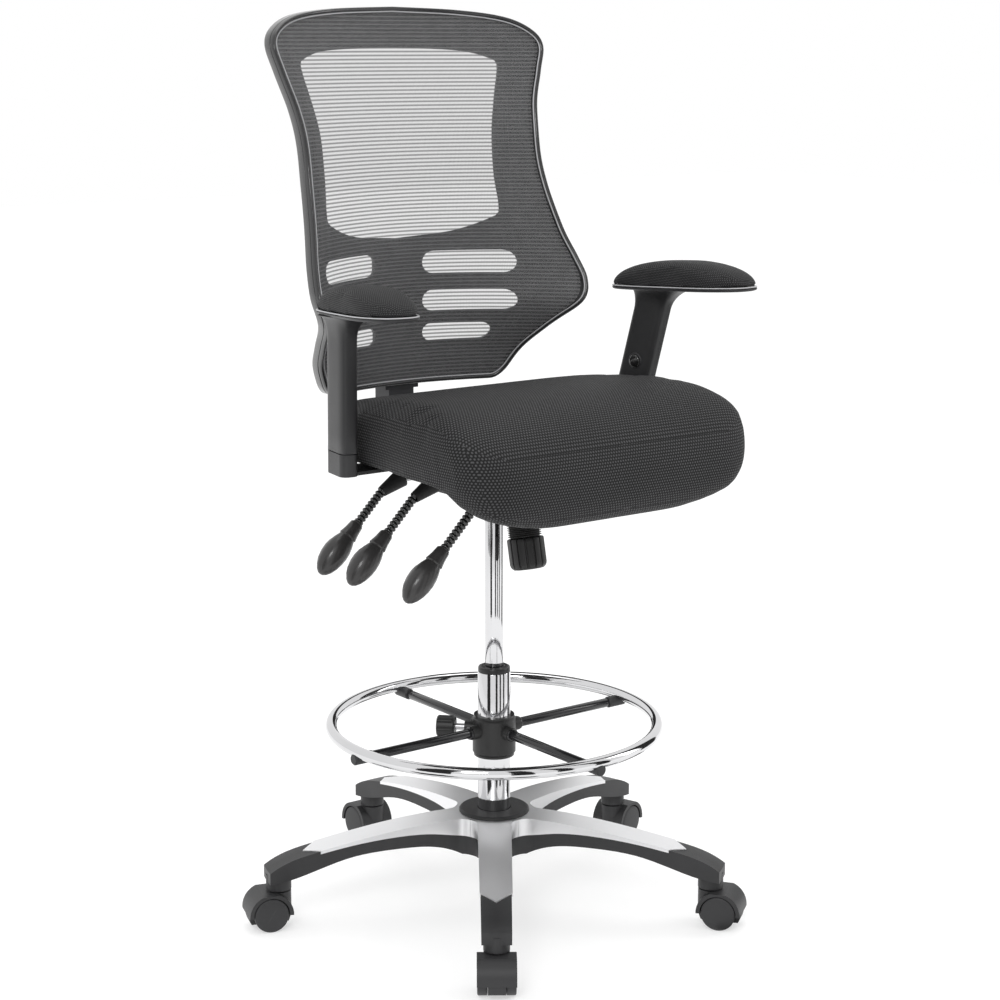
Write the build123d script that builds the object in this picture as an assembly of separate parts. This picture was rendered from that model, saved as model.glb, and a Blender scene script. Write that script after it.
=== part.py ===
from build123d import *
from math import atan2, cos, degrees, hypot, pi, radians, sin, tan
import os

# Drafting chair: five-star base on casters, gas lift with a foot ring, tilting seat,
# reclining mesh back and a pair of height-adjustable arms.
# Millimetres. Origin on the floor below the column. +Z up, the chair faces -Y.

FIT = 0.05                 # radial running clearance of shafts and sleeves
GAP = 0.5                  # visible seam or free gap between neighbours

# base and casters
LEG_COUNT = 5
LEG_START_DEG = -126.4     # direction of the first leg
CASTER_CIRCLE_R = 341.0
LEG_END_R = 359.0
LEG_ROOT_W = 49.0
LEG_END_W = 43.0
LEG_FILLET_R = 22.0
HUB_R = 60.0
HUB_BOTTOM_Z = 88.0
HUB_TOP_Z = 143.0
LEG_TOP = [(95, 142.0), (173, 134.5), (285, 116.0), (335, 103.0)]
LEG_UNDER = [(318, 79.0), (239, 101.0), (159, 107.0), (95, 101.0)]
COVER_WALL = 1.4
COVER_TIP_R = 303.0
COVER_SHOULDER_R = 281.0
COVER_SKIRT = [(62, 118.0), (100, 124.0), (160, 126.5), (230, 121.0), (303, 109.0)]
HUB_COVER_R = 54.0
HUB_COVER_T = 5.0
NECK_R = 19.0
NECK_BOTTOM_Z = 59.4
WHEEL_R = 26.0
WHEEL_W = 15.0
WHEEL_GAP = 26.0
CASTER_TRAIL = 17.0
HOOD_WALL = 6.0
HOOD_CLEAR = 1.4
HOOD_TOP_Z = 57.0
HOOD_END_DEG = -4.0
HOOD_WEB_DROP = 16.0
STEM_R = 5.5
STEM_LENGTH = 34.0
AXLE_R = 4.0

# gas lift
TUBE_R = 25.0
TUBE_WALL = 2.0
TUBE_TOP_Z = 366.0
CYLINDER_R = 14.0
CYLINDER_WALL = 2.0
CYLINDER_BOTTOM_Z = 312.0
CYLINDER_TOP_Z = 652.0
BUSH_LENGTH = 62.0
BUSH_FLANGE_T = 8.0
BUSH_FLANGE_R = 24.4
ROD_R = 5.0
ROD_TOP_Z = 338.0
PISTON_T = 10.0
VALVE_PIN_R = 3.5
VALVE_PIN_OUT = 8.0

# foot ring
RING_Z = 284.5
RING_R = 248.4
RING_TUBE_R = 8.8
SPOKE_COUNT = 4
SPOKE_START_DEG = 0.0
SPOKE_TUBE_R = 7.2
SPOKE_WALL = 1.5
SPOKE_Z = 275.0
SPOKE_END_R = 234.0
CLIP_R = 8.8
CLIP_INNER_R = 224.0
CLIP_OUTER_R = 258.0
COLLAR_R = 33.0
COLLAR_BOTTOM_Z = 238.0
COLLAR_TOP_Z = 294.0
LINER_WALL = 3.0
LINER_FLANGE_T = 3.5
LINER_FLANGE_R = 31.0
KNOB_DEG = 135.0
KNOB_Z = 275.0
KNOB_R = 16.5
KNOB_LENGTH = 28.0
KNOB_INNER_R = 60.0
STUD_R = 5.0

# mechanism
HOUSING_HALF_W = 58.0
HOUSING_FRONT_Y = -142.0
HOUSING_REAR_Y = 106.0
HOUSING_BOTTOM_Z = 640.0
HOUSING_TOP_Z = 684.0
HOUSING_WALL = 4.0
SOCKET_R = 22.0
SOCKET_BOTTOM_Z = 612.0
NOSE_R = 24.0
NOSE_DROP = 27.0
SHAFT_R = 6.0
TILT_Y = -75.0
TILT_Z = 668.0
RECLINE_Y = 85.0
RECLINE_Z = 660.0
KNOB_TILT_DEG = 12.3
TENSION_Y = -76.0
TENSION_TOP_Z = 587.0
TENSION_GAP = 1.5
TENSION_R = 27.5
TENSION_LENGTH = 47.0
TENSION_FLUTES = 16
BELLOWS_R = 25.0
BELLOWS_RIBS = 6
BELLOWS_LENGTH = 25.0
BOLT_R = 6.0

# levers, from the rear one to the front one
LEVERS = {"a": (68.0, -143.0), "b": (2.0, -131.0), "c": (-125.0, -119.0)}   # name: depth, elbow across
BOOTED_LEVERS = ["a", "b"]
LEVER_PIVOT_X = -48.0
LEVER_Z = 666.0
LEVER_DROOP_DEG = 45.0
LEVER_ROD_R = 4.0
LEVER_BEND_R = 28.0
SLEEVE_R = 7.0
SLEEVE_BEAD_PITCH = 6.4
SLEEVE_START = 28.0
SLEEVE_LENGTH = 60.0
BULB_LENGTH = 88.0
BULB_R = 22.5
ROD_IN_BULB = 36.0
BOOT_ROOT_R = 14.0
BOOT_TIP_R = 8.2
BOOT_LENGTH = 38.0
BOOT_DROOP_DEG = 26.0
BOOT_BACK = 4.0
BOOT_LOW = 6.0

# seat
PLATE_HALF_W = 92.0
PLATE_FRONT_Y = -150.0
PLATE_REAR_Y = 110.0
PLATE_BOTTOM_Z = 701.0
PLATE_T = 4.0
PAN_T = 9.0
PAN_FRONT_Y = -212.0
PAN_REAR_Y = 180.0
PAN_HALF_W = 212.0
PAN_CORNER_R = 75.0
SEAT_PLAN = [(0, -322), (120, -320), (208, -306), (251, -276), (264, -220), (261, -140), (250, -60),
             (246, 20), (234, 90), (205, 138), (158, 188), (88, 214), (0, 222)]
SEAT_FRONT = [(0, 816), (120, 816), (205, 812), (244, 797), (263, 770), (268, 738), (257, 706), (205, 672),
              (110, 650), (0, 636)]
SEAT_TOP = [(245, 720), (225, 742), (180, 757), (110, 772), (25, 787), (-70, 797), (-170, 801), (-240, 787),
            (-286, 757), (-308, 722), (-306, 688), (-288, 659), (-266, 649), (-246, 656), (-228, 684)]

# back
BACK_OUTLINE = [(0, 1355), (110, 1351), (190, 1341), (233, 1322), (248, 1297), (238, 1258), (222, 1205),
                (216, 1145), (220, 1085), (231, 1020), (243, 975), (249, 940), (241, 909), (218, 875),
                (193, 832), (173, 796)]
BACK_BOTTOM_Z = 777.0
BACK_BOTTOM_R = 12.0
BACK_SECTIONS = [(740, 237, 40), (790, 238, 55), (825, 240, 66), (860, 241, 90), (897, 241, 108),
                 (940, 240, 97), (985, 240, 88), (1040, 240, 79), (1105, 241, 67), (1170, 244, 58),
                 (1240, 251, 43), (1300, 258, 35), (1370, 264, 32)]   # height, depth, wrap
WRAP_AT_X = 200.0
RIM_WIDTH = 6.0
RIM_FRONT = -4.0
RIM_DEPTH = 27.0
MESH_T = 1.2
MESH_INSET = 1.0
SHELL_INSET = 10.0
SHELL_T = 5.0
WINDOW = [(0, 1294), (120, 1290), (174, 1277), (181, 1264), (170, 1220), (159, 1166), (157, 1100),
          (160, 1048), (150, 1033), (90, 1012), (0, 1004)]
SLOTS = [(947, 982, 178), (888, 921, 174), (841, 868, 146)]
SLOT_INNER_X = 44.0
CARRIER_HALF_W = 31.0
CARRIER_TOP_Z = 985.0
CARRIER_REAR_Y = 282.0
NECK_HALF_W = 23.5
NECK_FRONT_Y = 240.0
NECK_LOW_Z = 746.0
LINK_FRONT_Y = 262.0       # joins the carrier to its lower flange, behind the rim
FLANGE_T = 6.0
BAR_W = 40.0
BAR_T = 10.0
BAR_FRONT_Y = 261.0
BAR_BOTTOM_Z = 650.0
BAR_TOP_Z = 932.0
BAR_BEND_R = 38.0
SLIDE_CLEAR = 0.3

# arms
ARM_TOE_DEG = 10.0
ARM_FOOT = (265.0, 6.0, 730.0)
ARM_HEAD = (287.0, -31.0, 921.0)
ARM_THICK = 27.0
ARM_DEEP = 60.0
ARM_CORNER_R = 11.0
SLEEVE_BOTTOM_Z = 733.0
SHROUD_BOTTOM_Z = 699.0
ARM_BAR_T = 8.0
ARM_BAR_DEEP = 38.0
ARM_BAR_TOP_Z = 905.0
STRIP_T = 5.0
STRIP_W = 56.0
STRIP_INNER_X = 96.0
PAD_CENTRE = (289.0, -90.0, 941.0)
PAD_LENGTH = 262.0
PAD_WIDTH = 86.0
PAD_THICK = 32.0
PAD_RISE_DEG = 3.0
PAD_BASE_T = 5.0
BUTTON_R = 10.0
BUTTON_Z = 820.0
BUTTON_OUT = 4.0
BUTTON_IN = 4.0
BUTTON_TRAVEL = 2.5
FLARE_BOTTOM_Z = 885.0
FLARE_TOP_Z = 950.0
FLARE_WIDER = 34.0
FLARE_DEEPER = 64.0
FLARE_FORWARD = 8.0
PAD_BASE_INSET = 3.0


def solid_tube(radius, bore, bottom, top):
    """Upright tube between two heights; a zero bore gives a rod."""
    tube = Pos(0, 0, (bottom + top) / 2) * Cylinder(radius, top - bottom)
    if bore > 0:
        tube -= Pos(0, 0, (bottom + top) / 2) * Cylinder(bore, top - bottom + 2)
    return tube


def rod_along_x(radius, x0, x1, y, z):
    """Round bar parallel to X."""
    return Pos((x0 + x1) / 2, y, z) * Rot(0, 90, 0) * Cylinder(radius, abs(x1 - x0))


def box_between(low, high):
    """Box from its lowest corner to its highest corner."""
    size = [b - a for a, b in zip(low, high)]
    middle = [(a + b) / 2 for a, b in zip(low, high)]
    return Pos(*middle) * Box(*size)


def turned(part, angle):
    """Copy turned about the column."""
    return Rot(0, 0, angle) * part


def both_sides(points):
    """Half outline completed with its mirror image across the centre line."""
    return points + [(-x, z) for x, z in reversed(points) if x > 0]


def leg_angles():
    """Directions of the base legs in degrees."""
    return [LEG_START_DEG + 360 / LEG_COUNT * k for k in range(LEG_COUNT)]


def spoke_angles():
    """Directions of the foot-ring spokes in degrees."""
    return [SPOKE_START_DEG + 360 / SPOKE_COUNT * k for k in range(SPOKE_COUNT)]


def star_plan(grow, end_r):
    """Plan of the base: a hub disc and tapered legs with filleted inner corners."""
    half_root = LEG_ROOT_W / 2 + grow
    half_end = LEG_END_W / 2 + grow
    corners = [(0, half_root), (end_r, half_end), (end_r, -half_end), (0, -half_root)]
    leg = make_face(Polyline(*corners, close=True))
    plan = Circle(HUB_R + grow)
    for angle in leg_angles():
        plan += Rot(0, 0, angle) * leg
    inner = [v for v in plan.vertices() if hypot(v.X, v.Y) < HUB_R + 20]
    return fillet(inner, LEG_FILLET_R - grow)


def revolved_band(top, under, top_z, bottom_z):
    """Solid of revolution between an upper and a lower curve of radius and height."""
    inner_top = (0, top_z)
    upper = [Line(inner_top, (top[0][0] - 30, top_z)), Spline((top[0][0] - 30, top_z), *top)]
    foot = (under[-1][0] - 30, bottom_z)
    lower = [Spline(*under, foot), Line(foot, (0, bottom_z))]
    outer = Line(top[-1], under[0])
    section = make_face(Plane.XZ * (Curve() + upper + [outer] + lower + [Line((0, bottom_z), inner_top)]))
    return revolve(section, Axis.Z)


def umbrella(raise_by):
    """Envelope of the legs, arching down from the hub to the leg ends."""
    top = [(r, z + raise_by) for r, z in LEG_TOP] + [(LEG_END_R, LEG_TOP[-1][1] - 13 + raise_by)]
    under = [(LEG_END_R, LEG_UNDER[0][1] - 7)] + LEG_UNDER
    return revolved_band(top, under, HUB_TOP_Z + raise_by, HUB_BOTTOM_Z)


def base_star():
    """Moulded five-leg structure with a tapered hub bore and caster sockets."""
    star = umbrella(0) & extrude(star_plan(0, LEG_END_R), HUB_TOP_Z + 20)
    star -= solid_tube(TUBE_R, 0, 0, HUB_TOP_Z + 20)
    socket_top = NECK_BOTTOM_Z + STEM_LENGTH - 8
    for angle in leg_angles():
        neck = solid_tube(NECK_R, 0, NECK_BOTTOM_Z, LEG_UNDER[0][1] + 3)
        star += turned(Pos(CASTER_CIRCLE_R, 0, 0) * neck, angle)
        socket = solid_tube(STEM_R, 0, NECK_BOTTOM_Z - 1, socket_top)
        star -= turned(Pos(CASTER_CIRCLE_R, 0, 0) * socket, angle)
    return star


def cover_region():
    """Space of one leg's cover: a wedge with a pointed tip, above the skirt line."""
    wedge = 180 / LEG_COUNT
    root = HUB_COVER_R - 6
    half = LEG_END_W / 2 + COVER_WALL + 6
    near = (root * cos(radians(wedge)), root * sin(radians(wedge)) - GAP / 2)
    far = (140.0, 140.0 * tan(radians(wedge)) - GAP / 2)
    shoulder = (COVER_SHOULDER_R, LEG_END_W / 2 + COVER_WALL - 1)
    outline = [near, far, (COVER_SHOULDER_R, half), shoulder, (COVER_TIP_R, 0)]
    plan = make_face(Polyline(*outline, *[(x, -y) for x, y in reversed(outline[:-1])], close=True))
    skirt = [(40, COVER_SKIRT[0][1]), *COVER_SKIRT]
    above = Polyline(skirt[-1], (skirt[-1][0], 200), (40, 200), skirt[0])
    side = make_face(Plane.XZ * (Spline(*skirt) + above))
    return extrude(plan, 200) & extrude(side, 80, both=True)


def base_covers():
    """Bright covers, one clipped over the top of each leg."""
    grown = umbrella(COVER_WALL) & extrude(star_plan(COVER_WALL, LEG_END_R), HUB_TOP_Z + 20)
    core = umbrella(0) & extrude(star_plan(0, LEG_END_R), HUB_TOP_Z + 20)
    skin = grown - core
    region = cover_region()
    covers = [skin & turned(region, angle) for angle in leg_angles()]
    return Compound([cover.solid() for cover in covers])


def hub_cover():
    """Domed ring that closes the middle of the base round the column."""
    bottom = HUB_TOP_Z + COVER_WALL
    ring = solid_tube(HUB_COVER_R, TUBE_R + GAP, bottom, bottom + HUB_COVER_T)
    rim = ring.edges().filter_by(GeomType.CIRCLE).sort_by(Axis.Z)[-2:].sort_by(SortBy.RADIUS)[-1]
    return fillet(rim, HUB_COVER_T - 1)


def caster_stems():
    """Steel stems pressed into the leg ends."""
    top = NECK_BOTTOM_Z + STEM_LENGTH - 8
    stem = solid_tube(STEM_R, 0, HOOD_TOP_Z - 16, top)
    return Compound([turned(Pos(CASTER_CIRCLE_R, 0, 0) * stem, angle).solid() for angle in leg_angles()])


def caster_hood():
    """Hood of a twin-wheel caster, in its own frame: wheel axis at the origin, stem towards -X."""
    inner_r = WHEEL_R + HOOD_CLEAR
    outer_r = inner_r + HOOD_WALL
    width = 2 * WHEEL_W + WHEEL_GAP
    start = radians(HOOD_END_DEG)
    stem_x = -CASTER_TRAIL
    guard = Rot(90, 0, 0) * Cylinder(outer_r, width)
    guard -= Rot(90, 0, 0) * Cylinder(inner_r, width + 2)
    cut_end = (80 * cos(start), 80 * sin(start))
    below = Polyline((0, 0), cut_end, (80, -80), (-80, -80), (-80, -4), close=True)
    guard -= extrude(make_face(Plane.XZ * below), width, both=True)
    web_width = WHEEL_GAP - 2 * GAP
    web = Rot(90, 0, 0) * Cylinder(outer_r - 1, web_width)
    web -= box_between((-60, -40, -60), (60, 40, -HOOD_WEB_DROP))
    block_r = NECK_R - 0.5
    block = Pos(stem_x, 0, (HOOD_TOP_Z - WHEEL_R) / 2 + 3) * Cylinder(block_r, HOOD_TOP_Z - WHEEL_R - 6)
    block -= Rot(90, 0, 0) * Cylinder(inner_r, width + 20)
    hood = guard + web + block
    hood = hood & box_between((-60, -40, -60), (60, 40, HOOD_TOP_Z - WHEEL_R))
    bore_depth = 17.0
    hood -= Pos(stem_x, 0, HOOD_TOP_Z - WHEEL_R - bore_depth / 2) * Cylinder(STEM_R + FIT, bore_depth + 0.4)
    hood -= Rot(90, 0, 0) * Cylinder(AXLE_R, width)
    return hood


def caster_axle():
    """Steel pin that carries both wheels of a caster."""
    return Rot(90, 0, 0) * Cylinder(AXLE_R, WHEEL_GAP + 2 * WHEEL_W - 8)


def caster_wheels():
    """Pair of smooth disc wheels on one axle line."""
    wheels = []
    middle = (WHEEL_GAP + WHEEL_W) / 2
    for side in (-1, 1):
        wheel = Pos(0, side * middle, 0) * Rot(90, 0, 0) * Cylinder(WHEEL_R, WHEEL_W)
        wheel = chamfer(wheel.edges().filter_by(GeomType.CIRCLE), 1.6)
        depth = WHEEL_W - 4 + 0.01
        bore = Pos(0, side * (WHEEL_GAP / 2 + depth / 2), 0) * Rot(90, 0, 0) * Cylinder(AXLE_R + FIT, depth)
        wheels.append((wheel - bore).solid())
    return Compound(wheels)


def place_caster(part, angle):
    """Set a caster piece under its leg, trailing outwards."""
    return turned(Pos(CASTER_CIRCLE_R + CASTER_TRAIL, 0, WHEEL_R) * part, angle)


def column_tube():
    """Outer tube of the gas lift, closed at the foot round the rod."""
    foot = HUB_BOTTOM_Z + 1
    tube = solid_tube(TUBE_R, TUBE_R - TUBE_WALL, foot, TUBE_TOP_Z)
    return tube + solid_tube(TUBE_R - TUBE_WALL, ROD_R + FIT, foot, foot + 4)


def thrust_bearing():
    """Washer stack that lets the rod turn at the foot of the tube."""
    foot = HUB_BOTTOM_Z + 5
    return solid_tube(16, ROD_R + FIT, foot, foot + 6)


def column_bushing():
    """Guide bush with a flange on top of the outer tube."""
    bush = solid_tube(TUBE_R - TUBE_WALL, CYLINDER_R + FIT, TUBE_TOP_Z - BUSH_LENGTH, TUBE_TOP_Z)
    return bush + solid_tube(BUSH_FLANGE_R, CYLINDER_R + FIT, TUBE_TOP_Z, TUBE_TOP_Z + BUSH_FLANGE_T)


def gas_rod():
    """Piston rod, held at the foot of the tube and turning there."""
    foot = HUB_BOTTOM_Z - 6
    rod = solid_tube(ROD_R, 0, foot, ROD_TOP_Z)
    rod += solid_tube(ROD_R + 4, 0, foot, HUB_BOTTOM_Z + 1 - GAP)
    rod += solid_tube(ROD_R + 4, 0, HUB_BOTTOM_Z + 11.3, HUB_BOTTOM_Z + 15)
    return rod + solid_tube(CYLINDER_R - CYLINDER_WALL - FIT, 0, ROD_TOP_Z - PISTON_T, ROD_TOP_Z)


def gas_cylinder():
    """Chromed pressure cylinder with a gland at its foot and a valve seat on top."""
    cylinder = solid_tube(CYLINDER_R, 0, CYLINDER_BOTTOM_Z, CYLINDER_TOP_Z)
    cylinder -= solid_tube(CYLINDER_R - CYLINDER_WALL, 0, CYLINDER_BOTTOM_Z + 8, CYLINDER_TOP_Z - 24)
    cylinder -= solid_tube(ROD_R + FIT, 0, CYLINDER_BOTTOM_Z - 1, CYLINDER_BOTTOM_Z + 9)
    return cylinder - solid_tube(VALVE_PIN_R + FIT, 0, CYLINDER_TOP_Z - 16, CYLINDER_TOP_Z + 1)


def release_button():
    """Valve pin on top of the gas cylinder."""
    return solid_tube(VALVE_PIN_R, 0, CYLINDER_TOP_Z - 10, CYLINDER_TOP_Z + VALVE_PIN_OUT)


def ring_liner():
    """Plastic sleeve that slides on the column and carries the foot-ring collar."""
    bore = TUBE_R + FIT
    foot = COLLAR_BOTTOM_Z - LINER_FLANGE_T - GAP
    head = COLLAR_TOP_Z + LINER_FLANGE_T + GAP
    liner = solid_tube(bore + LINER_WALL, bore, foot, head)
    liner += solid_tube(LINER_FLANGE_R, bore, COLLAR_TOP_Z + GAP, head)
    return liner + solid_tube(LINER_FLANGE_R, bore, foot, COLLAR_BOTTOM_Z - GAP)


def knob_axis(part, start_r):
    """Set a piece drawn along +Z onto the foot-ring knob's radial line."""
    return turned(Pos(start_r, 0, KNOB_Z) * Rot(0, 90, 0) * part, KNOB_DEG)


def ring_collar():
    """Hub of the foot ring with sockets for the spokes and a boss for the clamp knob."""
    bore = TUBE_R + FIT + LINER_WALL + FIT
    collar = solid_tube(COLLAR_R, 0, COLLAR_BOTTOM_Z, COLLAR_TOP_Z)
    collar = chamfer(collar.edges().filter_by(GeomType.CIRCLE), 2)
    for angle in spoke_angles():
        boss = Pos(COLLAR_R + 2, 0, SPOKE_Z) * Rot(0, 90, 0) * Cylinder(SPOKE_TUBE_R + 3.5, 20)
        collar += turned(boss, angle)
        socket = Pos(COLLAR_R + 7, 0, SPOKE_Z) * Rot(0, 90, 0) * Cylinder(SPOKE_TUBE_R, 16)
        collar -= turned(socket, angle)
    collar += knob_axis(Pos(0, 0, 8) * Cylinder(10, 16), COLLAR_R - 4)
    collar -= solid_tube(bore, 0, COLLAR_BOTTOM_Z - 1, COLLAR_TOP_Z + 1)
    return collar - knob_axis(Cylinder(STUD_R + FIT, 60), COLLAR_R + 4)


def ring_spokes():
    """Four tubular spokes from the collar out to below the ring."""
    start = COLLAR_R - 1
    length = SPOKE_END_R - start
    tube = Rot(0, 90, 0) * (Cylinder(SPOKE_TUBE_R, length) - Cylinder(SPOKE_TUBE_R - SPOKE_WALL, length + 2))
    tube = Pos(start + length / 2, 0, SPOKE_Z) * tube
    return Compound([turned(tube, angle).solid() for angle in spoke_angles()])


def foot_ring():
    """Chromed ring for the feet."""
    return Pos(0, 0, RING_Z) * Torus(RING_R, RING_TUBE_R)


def ring_clips():
    """Saddles that join the spoke ends to the underside of the ring."""
    block = rod_along_x(CLIP_R, CLIP_INNER_R, CLIP_OUTER_R, 0, SPOKE_Z)
    block = chamfer(block.edges().filter_by(GeomType.CIRCLE), 2)
    bore = rod_along_x(SPOKE_TUBE_R, CLIP_INNER_R - 5, SPOKE_END_R, 0, SPOKE_Z)
    clip = block - bore - foot_ring()
    return Compound([turned(clip, angle).solids().sort_by(SortBy.VOLUME)[-1] for angle in spoke_angles()])


def ring_knob():
    """Fluted hand knob that clamps the foot ring to the column."""
    knob = Pos(0, 0, KNOB_LENGTH / 2) * Cylinder(KNOB_R, KNOB_LENGTH)
    knob = chamfer(knob.edges().filter_by(GeomType.CIRCLE), 2)
    for k in range(8):
        flute = Pos(KNOB_R + 1.5, 0, KNOB_LENGTH / 2 + 4) * Cylinder(3.5, KNOB_LENGTH)
        knob -= Rot(0, 0, 45 * k) * flute
    knob -= Pos(0, 0, 8) * Cylinder(STUD_R, 20)
    return knob_axis(knob, KNOB_INNER_R)


def ring_stud():
    """Threaded stud moulded into the clamp knob."""
    start = TUBE_R + FIT + LINER_WALL + 1
    end = KNOB_INNER_R + 18
    return knob_axis(Pos(0, 0, (end - start) / 2) * Cylinder(STUD_R, end - start), start)


def tilt_housing():
    """Pressed-steel mechanism box with the column socket and lever slots."""
    low = (-HOUSING_HALF_W, HOUSING_FRONT_Y, HOUSING_BOTTOM_Z)
    high = (HOUSING_HALF_W, HOUSING_REAR_Y, HOUSING_TOP_Z)
    box = box_between(low, high)
    box = fillet(box.edges().filter_by(Axis.Z), 10)
    inner_w = HOUSING_HALF_W - HOUSING_WALL
    inner_low = (-inner_w, HOUSING_FRONT_Y + HOUSING_WALL, HOUSING_BOTTOM_Z + HOUSING_WALL)
    inner_high = (inner_w, HOUSING_REAR_Y + 20, HOUSING_TOP_Z + 20)
    housing = box - box_between(inner_low, inner_high)
    floor_cut = (-inner_w, RECLINE_Y - 20, HOUSING_BOTTOM_Z - 1)
    housing -= box_between(floor_cut, inner_high)
    housing += solid_tube(SOCKET_R, 0, SOCKET_BOTTOM_Z, CYLINDER_TOP_Z - 6)
    housing += tension_line(Pos(0, 0, NOSE_DROP / 2) * Cylinder(NOSE_R, NOSE_DROP), 0)
    housing -= solid_tube(CYLINDER_R, 0, SOCKET_BOTTOM_Z - 1, CYLINDER_TOP_Z)
    housing -= rod_along_x(SHAFT_R, -100, 100, TILT_Y, TILT_Z)
    housing -= rod_along_x(SHAFT_R, -100, 100, RECLINE_Y, RECLINE_Z)
    slot_low_z = LEVER_Z - LEVER_ROD_R - 1.5
    half = LEVER_ROD_R + 1.5
    for y, _ in LEVERS.values():
        low = (-HOUSING_HALF_W - 5, y - half, slot_low_z - 2)
        housing -= box_between(low, (-HOUSING_HALF_W + 6, y + half, slot_low_z + 13))
    bolt = tension_line(Cylinder(BOLT_R + FIT, 160), 0)
    return housing - bolt


def cross_shafts():
    """Two alike shafts: the seat plate rocks on the front one, the back bar turns on the rear one."""
    tilt = rod_along_x(SHAFT_R, -HOUSING_HALF_W, HOUSING_HALF_W, TILT_Y, TILT_Z)
    recline = rod_along_x(SHAFT_R, -HOUSING_HALF_W, HOUSING_HALF_W, RECLINE_Y, RECLINE_Z)
    return Compound([tilt.solid(), recline.solid()])


def tension_line(part, drop):
    """Set a piece drawn along Z on the tension bolt's line, a drop down from the housing's nose."""
    lean = radians(KNOB_TILT_DEG)
    top_z = HOUSING_BOTTOM_Z - NOSE_DROP
    top_y = TENSION_Y + (top_z - TENSION_TOP_Z) * tan(lean)
    return Pos(0, top_y, top_z) * Rot(-KNOB_TILT_DEG, 0, 0) * Pos(0, 0, -drop) * part


def tension_bolt():
    """Threaded bolt that loads the tilt spring."""
    above = NOSE_DROP + 26.0
    below = 54.0
    bolt = Pos(0, 0, (above - below) / 2) * Cylinder(BOLT_R, above + below)
    nut = Pos(0, 0, NOSE_DROP + 12) * extrude(RegularPolygon(11, 6), 9)
    return tension_line(bolt + nut, 0)


def tension_bellows():
    """Ribbed collar between the housing and the tension knob."""
    pitch = BELLOWS_LENGTH / BELLOWS_RIBS
    core = solid_tube(BELLOWS_R - 3, BOLT_R + 1, -BELLOWS_LENGTH, 0)
    for k in range(BELLOWS_RIBS):
        rib = Cylinder(BELLOWS_R, pitch * 0.45) - Cylinder(BELLOWS_R - 4, pitch)
        core += Pos(0, 0, -pitch * (k + 0.5)) * rib
    return tension_line(core, GAP)


def tension_knob():
    """Fluted hand knob under the front of the mechanism."""
    top = BELLOWS_LENGTH + TENSION_GAP
    knob = Pos(0, 0, -TENSION_LENGTH / 2) * Cylinder(TENSION_R, TENSION_LENGTH)
    foot = knob.edges().filter_by(GeomType.CIRCLE).sort_by(Axis.Z)[0]
    knob = chamfer(foot, 6)
    head = knob.edges().filter_by(GeomType.CIRCLE).sort_by(Axis.Z)[-1]
    knob = chamfer(head, 2)
    for k in range(TENSION_FLUTES):
        flute = Pos(TENSION_R + 1.2, 0, -TENSION_LENGTH / 2 - 8) * Cylinder(3.2, TENSION_LENGTH)
        knob -= Rot(0, 0, 360 / TENSION_FLUTES * k) * flute
    knob -= Pos(0, 0, -12) * Cylinder(BOLT_R + FIT, 34)
    return tension_line(knob, top)


def lever_point(elbow_x, distance):
    """Point on a lever's sloping run, measured from the elbow, in the XZ plane."""
    droop = radians(LEVER_DROOP_DEG)
    return (elbow_x - distance * cos(droop), LEVER_Z - distance * sin(droop))


def lever_rod(y, elbow_x):
    """Bent steel rod of a lever with its pivot eye inside the housing."""
    tip_x, tip_z = lever_point(elbow_x, SLEEVE_START + SLEEVE_LENGTH + ROD_IN_BULB)
    corners = [(LEVER_PIVOT_X, y, LEVER_Z), (elbow_x, y, LEVER_Z), (tip_x, y, tip_z)]
    path = FilletPolyline(*corners, radius=LEVER_BEND_R)
    rod = sweep(Plane((LEVER_PIVOT_X, y, LEVER_Z), z_dir=(-1, 0, 0)) * Circle(LEVER_ROD_R), path)
    eye = Pos(LEVER_PIVOT_X + 2, y, LEVER_Z) * Rot(90, 0, 0) * Cylinder(LEVER_ROD_R + 1.5, 9)
    return rod + eye


def lever_grip(y, elbow_x):
    """Moulded grip: a beaded sleeve and an egg-shaped knob with a flat front panel."""
    bead_count = round(SLEEVE_LENGTH / SLEEVE_BEAD_PITCH)
    neck_end = SLEEVE_LENGTH + 14
    tip = SLEEVE_LENGTH + BULB_LENGTH
    middle = neck_end + (tip - neck_end) * 0.42
    profile = Spline((SLEEVE_R, SLEEVE_LENGTH), (SLEEVE_R + 3, neck_end - 4), (BULB_R - 4, middle - 20),
                     (BULB_R, middle), (BULB_R - 6, tip - 14), (0, tip), tangents=[(0.3, 1), (-1, 0)])
    closing = Polyline((0, tip), (0, SLEEVE_LENGTH), (SLEEVE_R, SLEEVE_LENGTH))
    bulb = revolve(make_face(Plane.XZ * (profile + closing)), Axis.Z)
    bulb -= box_between((BULB_R - 2.5, -BULB_R, neck_end), (BULB_R + 5, BULB_R, tip))
    sleeve = Pos(0, 0, (SLEEVE_LENGTH + 1) / 2) * Cylinder(SLEEVE_R - 2, SLEEVE_LENGTH + 1)
    for k in range(bead_count):
        sleeve += Pos(0, 0, SLEEVE_BEAD_PITCH * (k + 0.5)) * Torus(SLEEVE_R - 2.4, 2.4)
    length = SLEEVE_LENGTH + ROD_IN_BULB + 1
    grip = bulb + sleeve - Pos(0, 0, length / 2 - 1) * Cylinder(LEVER_ROD_R, length)
    x, z = lever_point(elbow_x, SLEEVE_START)
    return Pos(x, y, z) * Rot(0, -90 - LEVER_DROOP_DEG, 0) * grip


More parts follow.
